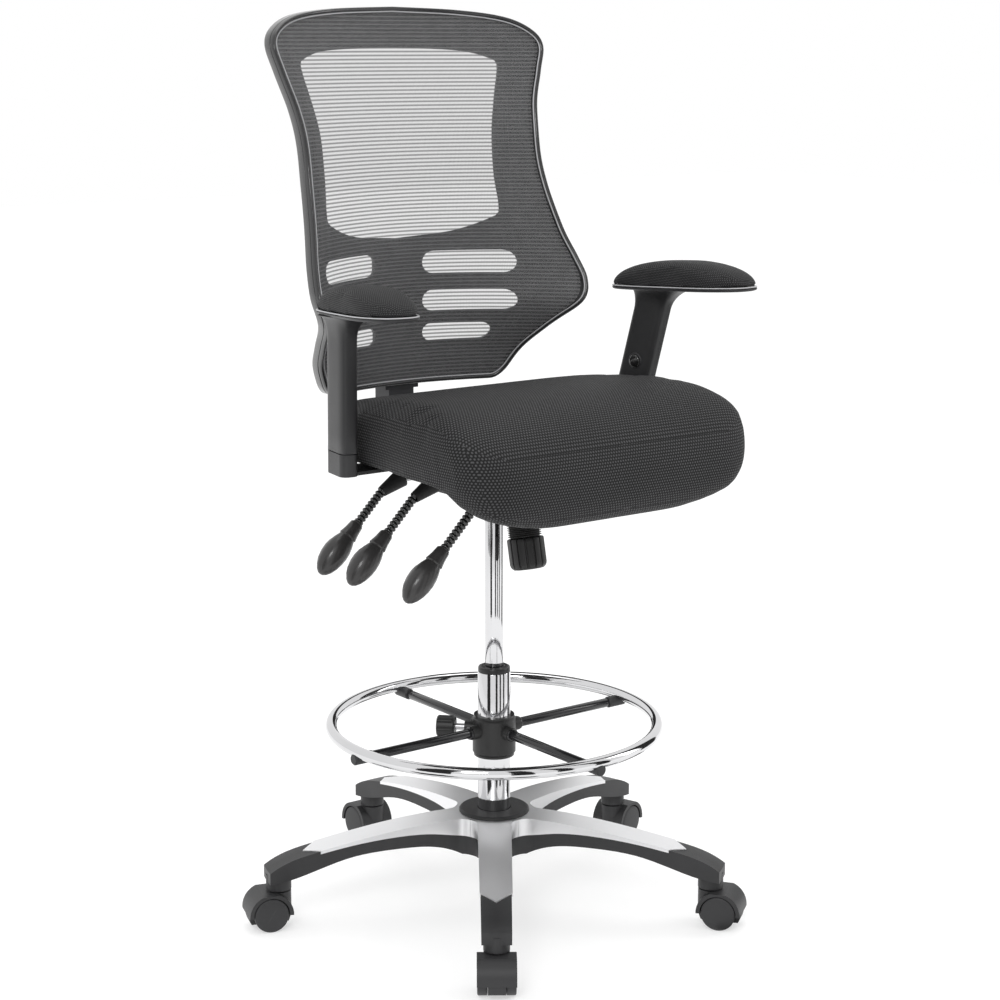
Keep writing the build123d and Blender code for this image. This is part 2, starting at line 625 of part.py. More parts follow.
def lever_boot(y, elbow_x):
    """Rubber cone over the root of a lever, with room for the rod's bend."""
    cone = Cone(BOOT_ROOT_R, BOOT_TIP_R, BOOT_LENGTH)
    cone -= Cone(BOOT_ROOT_R - 2, BOOT_TIP_R - 1, BOOT_LENGTH + 0.1)
    return Pos(elbow_x + BOOT_BACK, y, LEVER_Z - BOOT_LOW) * Rot(0, -90 - BOOT_DROOP_DEG, 0) * cone


def seat_plate():
    """Steel plate under the seat with two lugs on the tilt shaft."""
    low = (-PLATE_HALF_W, PLATE_FRONT_Y, PLATE_BOTTOM_Z)
    plate = box_between(low, (PLATE_HALF_W, PLATE_REAR_Y, PLATE_BOTTOM_Z + PLATE_T))
    plate = fillet(plate.edges().filter_by(Axis.Z), 16)
    lug_x = HOUSING_HALF_W - HOUSING_WALL - 2
    for side in (-1, 1):
        x0, x1 = sorted((side * lug_x, side * (lug_x - 6)))
        lug = box_between((x0, TILT_Y - 13, TILT_Z), (x1, TILT_Y + 13, PLATE_BOTTOM_Z + 1))
        plate += lug + rod_along_x(13, x0, x1, TILT_Y, TILT_Z)
    return plate - rod_along_x(SHAFT_R + FIT, -100, 100, TILT_Y, TILT_Z)


def seat_pan():
    """Moulded board that the cushion is upholstered on."""
    bottom = PLATE_BOTTOM_Z + PLATE_T
    pan = box_between((-PAN_HALF_W, PAN_FRONT_Y, bottom), (PAN_HALF_W, PAN_REAR_Y, bottom + PAN_T))
    return fillet(pan.edges().filter_by(Axis.Z), PAN_CORNER_R)


def seat_cushion():
    """Foam cushion with a waterfall front and raised sides, hollowed below for the pan."""
    bottom = PLATE_BOTTOM_Z + PLATE_T + PAN_T
    plan = make_face(Spline(*both_sides(SEAT_PLAN), periodic=True))
    front = make_face(Plane.XZ * Spline(*both_sides(SEAT_FRONT), periodic=True))
    below = Polyline(SEAT_TOP[-1], (PAN_FRONT_Y - 2, bottom), (SEAT_TOP[0][0], bottom), SEAT_TOP[0])
    side = make_face(Plane.YZ * (Spline(*SEAT_TOP) + below))
    cushion = Pos(0, 0, 600) * extrude(plan, 260)
    cushion &= extrude(front, 400, both=True)
    return cushion & extrude(side, 300, both=True)


def back_surface(offset):
    """Sculpted sheet of the backrest: each level bows forward towards its edges."""
    rows = []
    for z, centre_y, wrap in BACK_SECTIONS:
        row = []
        for k in range(13):
            x = -288 + 48 * k
            row.append(Vector(x, centre_y + offset - wrap * (x / WRAP_AT_X) ** 2, z))
        rows.append(row)
    return Face.make_surface_from_array_of_points(rows)


def back_slab(offset, thickness):
    """Layer of the backrest between two copies of the sculpted sheet."""
    return Solid.extrude(back_surface(offset), Vector(0, thickness, 0))


def moved_in(points, distance):
    """Half outline from the top centre down the right side, moved square to itself towards the middle."""
    moved = [(points[0][0], points[0][1] - distance)]
    for before, here, after in zip(points, points[1:], points[2:] + points[-1:]):
        run_x = after[0] - before[0]
        run_z = after[1] - before[1]
        length = hypot(run_x, run_z)
        moved.append((here[0] + run_z / length * distance, here[1] - run_x / length * distance))
    return moved


def back_face(shrink):
    """Front outline of the backrest, shrunk by the given width."""
    points = moved_in(BACK_OUTLINE, shrink)
    last = points[-1]
    low = (BACK_OUTLINE[-1][0] - 14 - shrink * 0.6, BACK_BOTTOM_Z + shrink)
    side = Spline(*points, tangents=[(1, 0), (-0.45, -1)])
    bottom = [Line(last, low), Line(low, (-low[0], low[1])), Line((-low[0], low[1]), (-last[0], last[1]))]
    face = make_face(Curve() + [side, mirror(side, Plane.YZ)] + bottom)
    corners = [v for v in face.vertices() if abs(v.Y - low[1]) < 0.5]
    return fillet(corners, BACK_BOTTOM_R)


def through(face):
    """Prism of a front outline through the full depth of the back."""
    return Pos(0, 500, 0) * extrude(Plane.XZ * face, 600)


def back_rim():
    """Outer frame that grips the mesh all round."""
    ring = back_face(0) - back_face(RIM_WIDTH)
    return (back_slab(RIM_FRONT, RIM_DEPTH) & through(ring)).solid()


def back_mesh():
    """Stretched mesh across the front of the back."""
    return (back_slab(MESH_INSET, MESH_T) & through(back_face(RIM_WIDTH))).solid()


def back_openings():
    """Window and lumbar slots of the rear shell."""
    window = make_face(Spline(*both_sides(WINDOW), periodic=True))
    holes = [window]
    for low, high, outer in SLOTS:
        radius = (high - low) / 2 - 1
        middle = (SLOT_INNER_X + outer) / 2
        slot = Pos(middle, (low + high) / 2) * RectangleRounded(outer - SLOT_INNER_X, high - low, radius)
        holes += [slot, mirror(slot, Plane.YZ)]
    return Sketch() + holes


def back_shell():
    """Moulded rear shell with a window and three pairs of lumbar slots."""
    face = back_face(RIM_WIDTH) - back_openings()
    return (back_slab(SHELL_INSET, SHELL_T) & through(face)).solid()


def bar_section(clear):
    """Side outline of the J-shaped back bar, grown by a clearance."""
    half = BAR_T / 2 + clear
    y = BAR_FRONT_Y + BAR_T / 2
    z = BAR_BOTTOM_Z + BAR_T / 2
    outline = [(RECLINE_Y, z - half), (y + half, z - half), (y + half, BAR_TOP_Z + clear),
               (y - half, BAR_TOP_Z + clear), (y - half, z + half), (RECLINE_Y, z + half)]
    face = make_face(Polyline(*outline, close=True))
    outer = face.vertices().sort_by_distance((y + half, z - half, 0))[0]
    face = fillet(outer, BAR_BEND_R)
    inner = face.vertices().sort_by_distance((y - half, z + half, 0))[0]
    return fillet(inner, BAR_BEND_R - BAR_T - 2 * clear)


def back_bar():
    """Steel J bar from the mechanism up behind the back."""
    bar = extrude(Plane.YZ * bar_section(0), BAR_W / 2, both=True)
    eye = rod_along_x(13, -BAR_W / 2 - 12, BAR_W / 2 + 12, RECLINE_Y, RECLINE_Z)
    return bar + eye - rod_along_x(SHAFT_R + FIT, -80, 80, RECLINE_Y, RECLINE_Z)


def back_carrier():
    """Ratchet housing on the shell that slides up and down the bar."""
    low = (-CARRIER_HALF_W, BAR_FRONT_Y - 40, BACK_BOTTOM_Z + 8)
    high = (CARRIER_HALF_W, CARRIER_REAR_Y, CARRIER_TOP_Z)
    carrier = box_between(low, high)
    carrier = fillet(carrier.edges().filter_by(Axis.Z).group_by(Axis.Y)[-1], 10)
    carrier -= back_slab(SHELL_INSET - 80, SHELL_T + 80)
    flange_top = BACK_BOTTOM_Z - 1
    flange_low = flange_top - FLANGE_T
    flange_high = (CARRIER_HALF_W, CARRIER_REAR_Y, flange_top)
    carrier += box_between((-CARRIER_HALF_W, NECK_FRONT_Y, flange_low), flange_high)
    link_high = (CARRIER_HALF_W, CARRIER_REAR_Y, low[2] + 1)
    carrier += box_between((-CARRIER_HALF_W, LINK_FRONT_Y, flange_low), link_high)
    neck_high = (NECK_HALF_W, CARRIER_REAR_Y - 2, flange_top)
    carrier += box_between((-NECK_HALF_W, NECK_FRONT_Y + 2, NECK_LOW_Z), neck_high)
    slot = box_between((-BAR_W / 2 - SLIDE_CLEAR, BAR_FRONT_Y - SLIDE_CLEAR, 700),
                       (BAR_W / 2 + SLIDE_CLEAR, BAR_FRONT_Y + BAR_T + SLIDE_CLEAR, CARRIER_TOP_Z - 6))
    return (carrier - slot).solids().sort_by(SortBy.VOLUME)[-1]


def arm_centre(z):
    """Centre of an arm post at a height, on the +X side."""
    share = (z - ARM_FOOT[2]) / (ARM_HEAD[2] - ARM_FOOT[2])
    return tuple(foot + share * (head - foot) for foot, head in zip(ARM_FOOT[:2], ARM_HEAD[:2]))


def arm_section(thick, deep, corner, z):
    """Rounded rectangular section of an arm post at a height."""
    x, y = arm_centre(z)
    return Pos(x, y, z) * Rot(0, 0, ARM_TOE_DEG) * RectangleRounded(thick, deep, corner)


def arm_loft(thick, deep, corner, bottom, top):
    """Leaning post of rounded rectangular section between two heights."""
    return loft([arm_section(thick, deep, corner, bottom), arm_section(thick, deep, corner, top)])


def arm_bracket():
    """Steel strip under the seat, turning up into the post's inner bar, with its lower shroud."""
    top = PLATE_BOTTOM_Z + PLATE_T
    x, y = arm_centre(SHROUD_BOTTOM_Z)
    strip = box_between((STRIP_INNER_X, y - STRIP_W / 2, top - STRIP_T), (x, y + STRIP_W / 2, top))
    shroud = arm_loft(ARM_THICK, ARM_DEEP, ARM_CORNER_R, SHROUD_BOTTOM_Z, SLEEVE_BOTTOM_Z - GAP)
    bar = arm_loft(ARM_BAR_T, ARM_BAR_DEEP, 2, SLEEVE_BOTTOM_Z - 10, ARM_BAR_TOP_Z)
    return strip + shroud + bar


def pad_axis(part):
    """Set a piece drawn about the arm pad's centre in its place on the +X side."""
    return Pos(*PAD_CENTRE) * Rot(0, 0, ARM_TOE_DEG) * Rot(-PAD_RISE_DEG, 0, 0) * part


def pad_plan(grow):
    """Plan of the arm pad, wider towards the front."""
    half_w = PAD_WIDTH / 2 + grow
    half_l = PAD_LENGTH / 2 + grow
    shares = [(0, -1), (0.62, -0.9), (0.98, -0.52), (0.93, 0), (0.78, 0.55), (0.5, 0.9), (0, 1)]
    points = [(half_w * across, half_l * along) for across, along in shares]
    return make_face(Spline(*both_sides(points), periodic=True))


def arm_pad():
    """Padded armrest top, crowned."""
    block = extrude(pad_plan(0), PAD_THICK)
    crown = Pos(0, 0, PAD_THICK - 430) * Sphere(430)
    side_crown = Pos(0, 0, PAD_THICK - 66) * Rot(90, 0, 0) * Cylinder(66, PAD_LENGTH + 20)
    return pad_axis(block & crown & side_crown)


def arm_sleeve():
    """Outer post sleeve with the pad's base plate moulded on top."""
    post = arm_loft(ARM_THICK, ARM_DEEP, ARM_CORNER_R, SLEEVE_BOTTOM_Z, FLARE_TOP_Z)
    base = pad_axis(Pos(0, 0, -PAD_BASE_T) * extrude(pad_plan(-PAD_BASE_INSET), PAD_BASE_T))
    flare = loft([arm_section(ARM_THICK, ARM_DEEP, ARM_CORNER_R, FLARE_BOTTOM_Z),
                  Pos(0, -FLARE_FORWARD, 0) * arm_section(ARM_THICK + FLARE_WIDER, ARM_DEEP + FLARE_DEEPER,
                                                          ARM_CORNER_R, FLARE_TOP_Z)])
    keep = pad_axis(box_between((-PAD_WIDTH, -PAD_LENGTH, -PAD_LENGTH), (PAD_WIDTH, PAD_LENGTH, 0)))
    body = post + base + flare
    room = 2 * SLIDE_CLEAR
    channel = arm_loft(ARM_BAR_T + room, ARM_BAR_DEEP + room, 2, SLEEVE_BOTTOM_Z - 1, ARM_BAR_TOP_Z + 1)
    bore = Cylinder(BUTTON_R + FIT, 2 * (BUTTON_IN + BUTTON_TRAVEL + GAP))
    return (body & keep) - channel - button_line(bore, 0)


def button_line(part, pushed):
    """Set a piece drawn along Z on the arm button's axis; +Z points in towards the seat."""
    x, y = arm_centre(BUTTON_Z)
    face = ARM_THICK / 2
    return Pos(x, y, BUTTON_Z) * Rot(0, 0, ARM_TOE_DEG) * Pos(-face - pushed, 0, 0) * Rot(0, -90, 0) * part


def arm_button():
    """Round push button that frees the arm's height lock."""
    button = Pos(0, 0, (BUTTON_OUT - BUTTON_IN) / 2) * Cylinder(BUTTON_R, BUTTON_OUT + BUTTON_IN)
    rim = button.edges().filter_by(GeomType.CIRCLE).sort_by(Axis.Z)[-1]
    return button_line(fillet(rim, 2), 0)


def write(name, part):
    """Save one piece as its own STEP file."""
    export_step(part, f"parts/{name}.step")


def write_pair(name, part):
    """Save the left piece as drawn and its mirror image as the right piece."""
    write(f"{name}_left", part)
    write(f"{name}_right", mirror(part, Plane.YZ))


os.makedirs("parts", exist_ok=True)

write("base_star", base_star())
write("base_covers", base_covers())
write("hub_cover", hub_cover())
write("caster_stems", caster_stems())
for number, leg_angle in enumerate(leg_angles(), start=1):
    write(f"caster_hood_{number}", place_caster(caster_hood(), leg_angle))
    write(f"caster_axle_{number}", place_caster(caster_axle(), leg_angle))
    write(f"caster_wheels_{number}", place_caster(caster_wheels(), leg_angle))

write("column_tube", column_tube())
write("column_bushing", column_bushing())
write("thrust_bearing", thrust_bearing())
write("gas_rod", gas_rod())
write("gas_cylinder", gas_cylinder())
write("release_button", release_button())

write("ring_liner", ring_liner())
write("ring_collar", ring_collar())
write("ring_spokes", ring_spokes())
write("ring_clips", ring_clips())
write("foot_ring", foot_ring())
write("ring_knob", ring_knob())
write("ring_stud", ring_stud())

write("tilt_housing", tilt_housing())
write("cross_shafts", cross_shafts())
write("tension_bolt", tension_bolt())
write("tension_bellows", tension_bellows())
write("tension_knob", tension_knob())
for lever_name, (lever_y, lever_elbow_x) in LEVERS.items():
    write(f"lever_rod_{lever_name}", lever_rod(lever_y, lever_elbow_x))
    write(f"lever_grip_{lever_name}", lever_grip(lever_y, lever_elbow_x))
    if lever_name in BOOTED_LEVERS:
        write(f"lever_boot_{lever_name}", lever_boot(lever_y, lever_elbow_x))

write("seat_plate", seat_plate())
write("seat_pan", seat_pan())
write("seat_cushion", seat_cushion())

write("back_bar", back_bar())
write("back_carrier", back_carrier())
write("back_shell", back_shell())
write("back_rim", back_rim())
write("back_mesh", back_mesh())

bracket = arm_bracket()
write("arm_brackets", Compound([bracket.solid(), mirror(bracket, Plane.YZ).solid()]))
write_pair("arm_sleeve", arm_sleeve())
write_pair("arm_pad", arm_pad())
write_pair("arm_button", arm_button())
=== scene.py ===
from math import atan2, cos, hypot, pi, radians, sin, sqrt, tan

import bmesh
import bpy
from bpy.props import FloatProperty, FloatVectorProperty, IntProperty, PointerProperty
from mathutils import Matrix, Vector


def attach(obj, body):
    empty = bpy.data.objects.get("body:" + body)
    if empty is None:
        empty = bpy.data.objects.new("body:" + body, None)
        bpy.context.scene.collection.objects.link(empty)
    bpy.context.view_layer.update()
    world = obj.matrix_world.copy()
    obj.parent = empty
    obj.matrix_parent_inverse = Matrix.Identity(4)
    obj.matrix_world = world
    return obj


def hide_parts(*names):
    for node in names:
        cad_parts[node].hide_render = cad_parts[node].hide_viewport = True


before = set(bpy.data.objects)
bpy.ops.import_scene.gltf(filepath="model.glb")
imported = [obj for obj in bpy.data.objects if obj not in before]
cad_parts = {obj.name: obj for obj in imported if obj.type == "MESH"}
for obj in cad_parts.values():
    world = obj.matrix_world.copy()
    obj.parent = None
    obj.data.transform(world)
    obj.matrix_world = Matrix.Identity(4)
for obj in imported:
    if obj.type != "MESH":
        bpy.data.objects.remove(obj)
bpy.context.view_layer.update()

bl_info = {
    "name": "Drafting chair",
    "version": (1, 0, 0),
    "blender": (4, 5, 0),
    "location": "View3D > Sidebar > Chair",
    "description": "Builds a drafting chair with a mesh back round its CAD frame",
    "category": "Object",
}

MM = 0.001
STUFFING_FRAMES = 20
STUFFING_PRESSURE = 4.0
SIDES = {"left": 1, "right": -1}

# Backrest, in millimetres: half outline from the top centre down the side, and the
# sculpted sheet as height, depth of the middle and forward wrap at 200 mm out.
BACK_OUTLINE = [(0, 1355), (110, 1351), (190, 1341), (233, 1322), (248, 1297), (238, 1258), (222, 1205),
                (216, 1145), (220, 1085), (231, 1020), (243, 975), (249, 940), (241, 909), (218, 875),
                (193, 832), (173, 796)]
BACK_BOTTOM = 777
BACK_CORNER = [(161, 777), (147, 777)]
BACK_SECTIONS = [(740, 237, 40), (790, 238, 55), (825, 240, 66), (860, 241, 90), (897, 241, 108),
                 (940, 240, 97), (985, 240, 88), (1040, 240, 79), (1105, 241, 67), (1170, 244, 58),
                 (1240, 251, 43), (1300, 258, 35), (1370, 264, 32)]
WRAP_AT = 200
WINDOW = [(0, 1294), (120, 1290), (174, 1277), (181, 1264), (170, 1220), (159, 1166), (157, 1100),
          (160, 1048), (150, 1033), (90, 1012), (0, 1004)]
SLOTS = [(947, 982, 44, 178), (888, 921, 44, 174), (841, 868, 44, 146)]   # low, high, inner, outer
PANEL_CELL = 12.0
SHELL_BEHIND = 10.0
SHELL_T = 5.0
MESH_BEHIND = 1.4
RIB_INSETS = (34.0, 41.0)
RIM_SECTION = [(-6.2, -1.5), (-5.2, -3.6), (-3.0, -4.4), (-1.0, -4.0), (0, -2.4), (0, 4.0), (-0.9, 4.6),
               (-0.9, 6.0), (0, 6.6), (0, 20.0), (-0.8, 22.2), (-3.0, 23.0), (-5.4, 22.4), (-6.2, 21.0)]

# Arms
ARM_FOOT = Vector((265, 6, 730))
ARM_HEAD = Vector((287, -31, 921))
ARM_TOE = radians(10)
PAD_CENTRE = Vector((289, -90, 941))
PAD_RISE = radians(3)
PAD_PLAN = [(0, 1), (0.5, 0.9), (0.78, 0.55), (0.93, 0), (0.98, -0.52), (0.62, -0.9), (0, -1)]
PAD_BASE = 5.0
POST_HALF_W = 13.5
POST_REACH = 30
FLARE_LOW = 896
FLARE_RISE = 38
BUTTON_Z = 820

# Where the seat cushion gives way to the arms, in metres
SEAT_BY_ARM = 0.246
SEAT_PAST_ARM = 0.06
ARM_DEPTH = 0.006
ARM_ROOM = 0.075

# Levers: depth and elbow across, in millimetres
LEVERS = {"a": (68, -143), "b": (2, -131), "c": (-125, -119)}
SLEEVE_START = {"a": 15, "b": 21, "c": 24}
LEVER_Z = 666
LEVER_DROOP = radians(45)
BEAD_COUNT = 10
BEAD_PITCH = 6.5
PANEL_MIDDLE = 126
PANEL_REACH = 27
PANEL_FACING = radians(52)
EGG = [(7.4, 66), (9.6, 66.6), (10.6, 68), (12.0, 80), (13.6, 87), (14.4, 90), (13.0, 92), (13.8, 94),
       (16.6, 101), (19.0, 110), (20.0, 119), (19.6, 129), (17.4, 140), (13.8, 149), (9.2, 155.6),
       (4.6, 159.0), (0.6, 160.0)]   # radius, height along the lever

# Tension knob, in millimetres
TENSION_LEAN = radians(12.3)
TENSION_TOP = Vector((0, -70.3, 613))
BELLOWS_RIBS = 9
FLUTE_COUNT = 14
FLUTE_DEPTH = 1.9
FLUTE_SHARE = 0.72

# Foot ring, base and wheels, in millimetres
RING_Z = 284.5
RING_R = 248.4
SPOKE_Z = 275
SPOKE_COUNT = 4
LEG_ANGLES = [radians(-126.4 + 72 * k) for k in range(5)]
WHEEL_CIRCLE_R = 358
WHEEL_R = 26
WHEEL_INSIDE = 13

# Boards round the stage that only show in reflections: bearing in degrees, width in metres.
# Each has a small strip on the floor in front of it.
DARK_BOARDS = [(-163, 0.48), (-110, 0.30), (-84, 0.22), (-58, 0.24), (-12, 0.48), (52, 0.34)]
BOARD_RADIUS = 1.25
BOARD_MIDDLE = 1.0
BOARD_HEIGHT = 2.6
STRIP_RADIUS = 0.42
STRIP_LIFT = 0.004
STRIP_SHARE = 0.4

# Lights: place, width and height in metres, power in watts. They all face the chair's middle.
LIGHTS = {
    "key": ((-3.2, -2.6, 3.2), (1.2, 1.2), 60),
    "fill": ((3.4, -1.6, 2.0), (1.0, 2.4), 30),
    "top": ((0.3, 0.6, 4.2), (2.4, 2.4), 30),
}
CHAIR_MIDDLE = (0, 0, 0.7)
FLOOR_REACH = 14
FLOOR_DROP = 0.0006


def length_field(name, about, default):
    return FloatProperty(name=name, description=about, default=default, unit="LENGTH")


def colour_field(name, about, default):
    return FloatVectorProperty(name=name, description=about, default=default, subtype="COLOR")


class ChairSizes(bpy.types.PropertyGroup):
    """Sizes of the pieces that are made here."""
    pad_width: length_field("Arm pad width", "Widest part of an arm pad", 0.086)
    pad_length: length_field("Arm pad length", "Length of an arm pad", 0.262)
    pad_height: length_field("Arm pad height", "Crown of an arm pad over its base", 0.037)
    thread_pitch: length_field("Thread pitch", "Spacing of the back's mesh threads", 0.0058)
    knit_pitch: length_field("Knit pitch", "Spacing of the knots in the seat fabric", 0.0046)
    seat_voxel: length_field("Seat grid", "Grid size of the seat before it is stuffed", 0.006)
    seat_swell: length_field("Seat swell", "Most that the seat foam may swell", 0.009)
    ring_tube: length_field("Foot ring tube", "Radius of the foot ring's tube", 0.0088)
    round_steps: IntProperty(name="Round steps", description="Sides of turned pieces", default=72)


class ChairColours(bpy.types.PropertyGroup):
    """Colours of the finishes."""
    nylon: colour_field("Nylon", "Moulded base, hoods and knobs", (0.022, 0.022, 0.023))
    plastic: colour_field("Arm plastic", "Arm posts and pad bases", (0.020, 0.020, 0.021))
    shell: colour_field("Back shell", "Shell behind the mesh", (0.030, 0.030, 0.032))
    silver: colour_field("Silver", "Bright leg covers", (0.86, 0.86, 0.87))
    chrome: colour_field("Chrome", "Gas lift and foot ring", (0.68, 0.68, 0.69))
    fabric: colour_field("Seat fabric", "Spacer fabric of seat and pads", (0.028, 0.028, 0.029))
    thread: colour_field("Mesh thread", "Thread of the back's mesh", (0.17, 0.17, 0.173))
    grip: colour_field("Lever grip", "Lever grips", (0.026, 0.025, 0.025))


# ---------------- shader maths


class Val:
    """One output socket of a node, with arithmetic that adds Math nodes."""

    def __init__(self, look, socket):
        self.look = look
        self.socket = socket

    def maths(self, operation, *values):
        inputs = dict(enumerate(values))
        return self.look.node("ShaderNodeMath", {"operation": operation}, inputs)

    def __add__(self, other):
        return self.maths("ADD", self, other)

    def __sub__(self, other):
        return self.maths("SUBTRACT", self, other)

    def __rsub__(self, other):
        return self.maths("SUBTRACT", other, self)

    def __mul__(self, other):
        return self.maths("MULTIPLY", self, other)

    def __gt__(self, other):
        return self.maths("GREATER_THAN", self, other)

    def fract(self):
        return self.maths("FRACT", self)

    def sine(self):
        return self.maths("SINE", self)

    def absolute(self):
        return self.maths("ABSOLUTE", self)

    def least(self, other):
        return self.maths("MINIMUM", self, other)

    def power(self, other):
        return self.maths("POWER", self, other)

    def clamped(self):
        return self.look.node("ShaderNodeClamp", {}, {0: self})


class Look:
    """A material while its nodes are being laid out."""

    def __init__(self, name):
        self.material = bpy.data.materials.new(name)
        self.material.use_nodes = True
        self.tree = self.material.node_tree
        self.tree.nodes.clear()

    def node(self, kind, settings=None, inputs=None, out=0):
        """A node with its settings made first, then its inputs; returns one output."""
        made = self.tree.nodes.new(kind)
        for key, value in (settings or {}).items():
            setattr(made, key, value)
        for key, value in (inputs or {}).items():
            if isinstance(value, Val):
                self.tree.links.new(value.socket, made.inputs[key])
            else:
                made.inputs[key].default_value = value
        return Val(self, made.outputs[out])

    def place(self):
        """The point on the piece, in metres, whole and as three values."""
        spot = self.node("ShaderNodeTexCoord", {}, {}, "Object")
        return spot, [self.node("ShaderNodeSeparateXYZ", {}, {0: spot}, axis) for axis in range(3)]

    def noise(self, spot, scale, detail=3.0):
        return self.node("ShaderNodeTexNoise", {}, {"Vector": spot, "Scale": scale, "Detail": detail})

    def bump(self, height, depth, strength=1.0):
        inputs = {"Height": height, "Distance": depth, "Strength": strength}
        return self.node("ShaderNodeBump", {}, inputs)

    def tint(self, share, low, high):
        """A colour between two others."""
        inputs = {0: share, 6: (*low, 1), 7: (*high, 1)}
        return self.node("ShaderNodeMix", {"data_type": "RGBA"}, inputs, 2)

    def surface(self, sockets):
        """Finish the material with one shader."""
        shader = self.node("ShaderNodeBsdfPrincipled", {}, sockets)
        out = self.tree.nodes.new("ShaderNodeOutputMaterial")
        self.tree.links.new(shader.socket, out.inputs["Surface"])
        return self.material


def scaled(colour, by):
    return tuple(min(1.0, c * by) for c in colour)


def moulded(name, colour, rough, grain, coat=0.0):
    """Moulded plastic: fine grain, slow patches of gloss, edges rubbed a little paler."""
    look = Look(name)
    spot, _ = look.place()
    patches = look.noise(spot, 22.0, 4.0)
    fine = look.noise(spot, grain, 2.0)
    worn = look.node("ShaderNodeNewGeometry", {}, {}, "Pointiness")
    rubbed = ((worn - 0.515) * 12.0).clamped()
    share = (patches * 0.35 + rubbed * 0.5).clamped()
    return look.surface({
        "Base Color": look.tint(share, scaled(colour, 0.85), scaled(colour, 1.5)),
        "Roughness": patches * 0.12 + (rough - 0.05) + fine * 0.05,
        "Normal": look.bump(fine, 0.00012),
        "Specular IOR Level": 0.36,
        "Coat Weight": coat,
        "Coat Roughness": 0.12,
    })


def metal(name, colour, rough, smear=0.03, metallic=1.0):
    """Plated or painted metal with faint smears."""
    look = Look(name)
    spot, _ = look.place()
    patches = look.noise(spot, 14.0, 5.0)
    fine = look.noise(spot, 600.0, 2.0)
    return look.surface({
        "Base Color": look.tint(patches, scaled(colour, 0.94), scaled(colour, 1.04)),
        "Metallic": metallic,
        "Roughness": patches * smear + rough,
        "Normal": look.bump(fine, 0.00002),
    })


def spacer_fabric(name, colour, pitch):
    """Knitted spacer fabric: rows of small knots over a black ground, their pale colour partly a painted
    highlight.
    """
    look = Look(name)
    spot, axes = look.place()
    facing = look.node("ShaderNodeTexCoord", {}, {}, "Normal")
    lean = [look.node("ShaderNodeSeparateXYZ", {}, {0: facing}, k).absolute() for k in range(3)]
    top = lean[2] > 0.62
    flank = (1.0 - top) * (lean[0] > lean[1])
    across = axes[0] * (1.0 - flank) + axes[1] * flank
    along = axes[1] * top + axes[2] * (1.0 - top)
    u = across * (1.0 / pitch)
    v = along * (1.0 / (pitch * sqrt(3)))
    reach = []
    for shift in (0.0, 0.5):
        du = (u + shift).fract() - 0.5
        dv = ((v + shift).fract() - 0.5) * sqrt(3)
        reach.append(du * du + dv * dv)
    near = reach[0].least(reach[1])
    knot_and_highlight = (1.0 - near * 7.0).clamped()
    strand = look.noise(spot, 1500.0, 2.0)
    patches = look.noise(spot, 9.0, 3.0)
    shade = (knot_and_highlight * 0.85 + strand * 0.12).clamped() * (patches * 0.35 + 0.8)
    return look.surface({
        # The knots are the real knit pattern and their bump is real relief; their pale colour is painted
        # highlight standing in for the light they catch
        "Base Color": look.tint(shade.clamped(), scaled(colour, 0.1), scaled(colour, 2.7)),
        "Roughness": 0.72 - knot_and_highlight * 0.2,
        "Normal": look.bump(knot_and_highlight, 0.0008, 0.8),
        "Specular IOR Level": 0.22,
        "Sheen Weight": 0.02,
        "Sheen Roughness": 0.45,
    })


def thread_mesh(name, colour, pitch):
    """Stretched see-through mesh with horizontal threads and fine upright yarns."""
    look = Look(name)
    spot, (x, _, z) = look.place()
    wander = look.noise(spot, 2.0, 1.0) * (pitch * 0.5)
    row = ((z + wander) * (2 * pi / pitch)).sine() * 0.5 + 0.5
    fine_row = ((z + wander) * (6 * pi / pitch)).sine() * 0.5 + 0.5
    upright = (x * (2 * pi / 0.0021)).sine() * 0.5 + 0.5
    cover = row.power(1.5) * 0.58 + fine_row * 0.12 + upright * 0.10 + 0.20
    streak = look.noise(spot, 60.0, 3.0)
    shade = (row * 0.45 + streak * 0.35 + upright * 0.15).clamped()
    return look.surface({
        "Base Color": look.tint(shade, scaled(colour, 1.25), scaled(colour, 0.5)),
        "Roughness": streak * 0.2 + 0.5,
        "Specular IOR Level": 0.3,
        "Alpha": cover.clamped(),
        "Normal": look.bump(row, 0.0004, 0.5),
    })


def leg_cover_metal(name, colour):
    """Satin silver with a fine grain and faint rubbed patches."""
    look = Look(name)
    spot, _ = look.place()
    patches = look.noise(spot, 7.0, 1.0)
    fine = look.noise(spot, 900.0, 2.0)
    return look.surface({
        "Base Color": look.tint(patches, scaled(colour, 0.97), scaled(colour, 1.03)),
        "Metallic": 1.0,
        "Roughness": patches * 0.05 + 0.36,
        "Normal": look.bump(fine, 0.00003),
    })


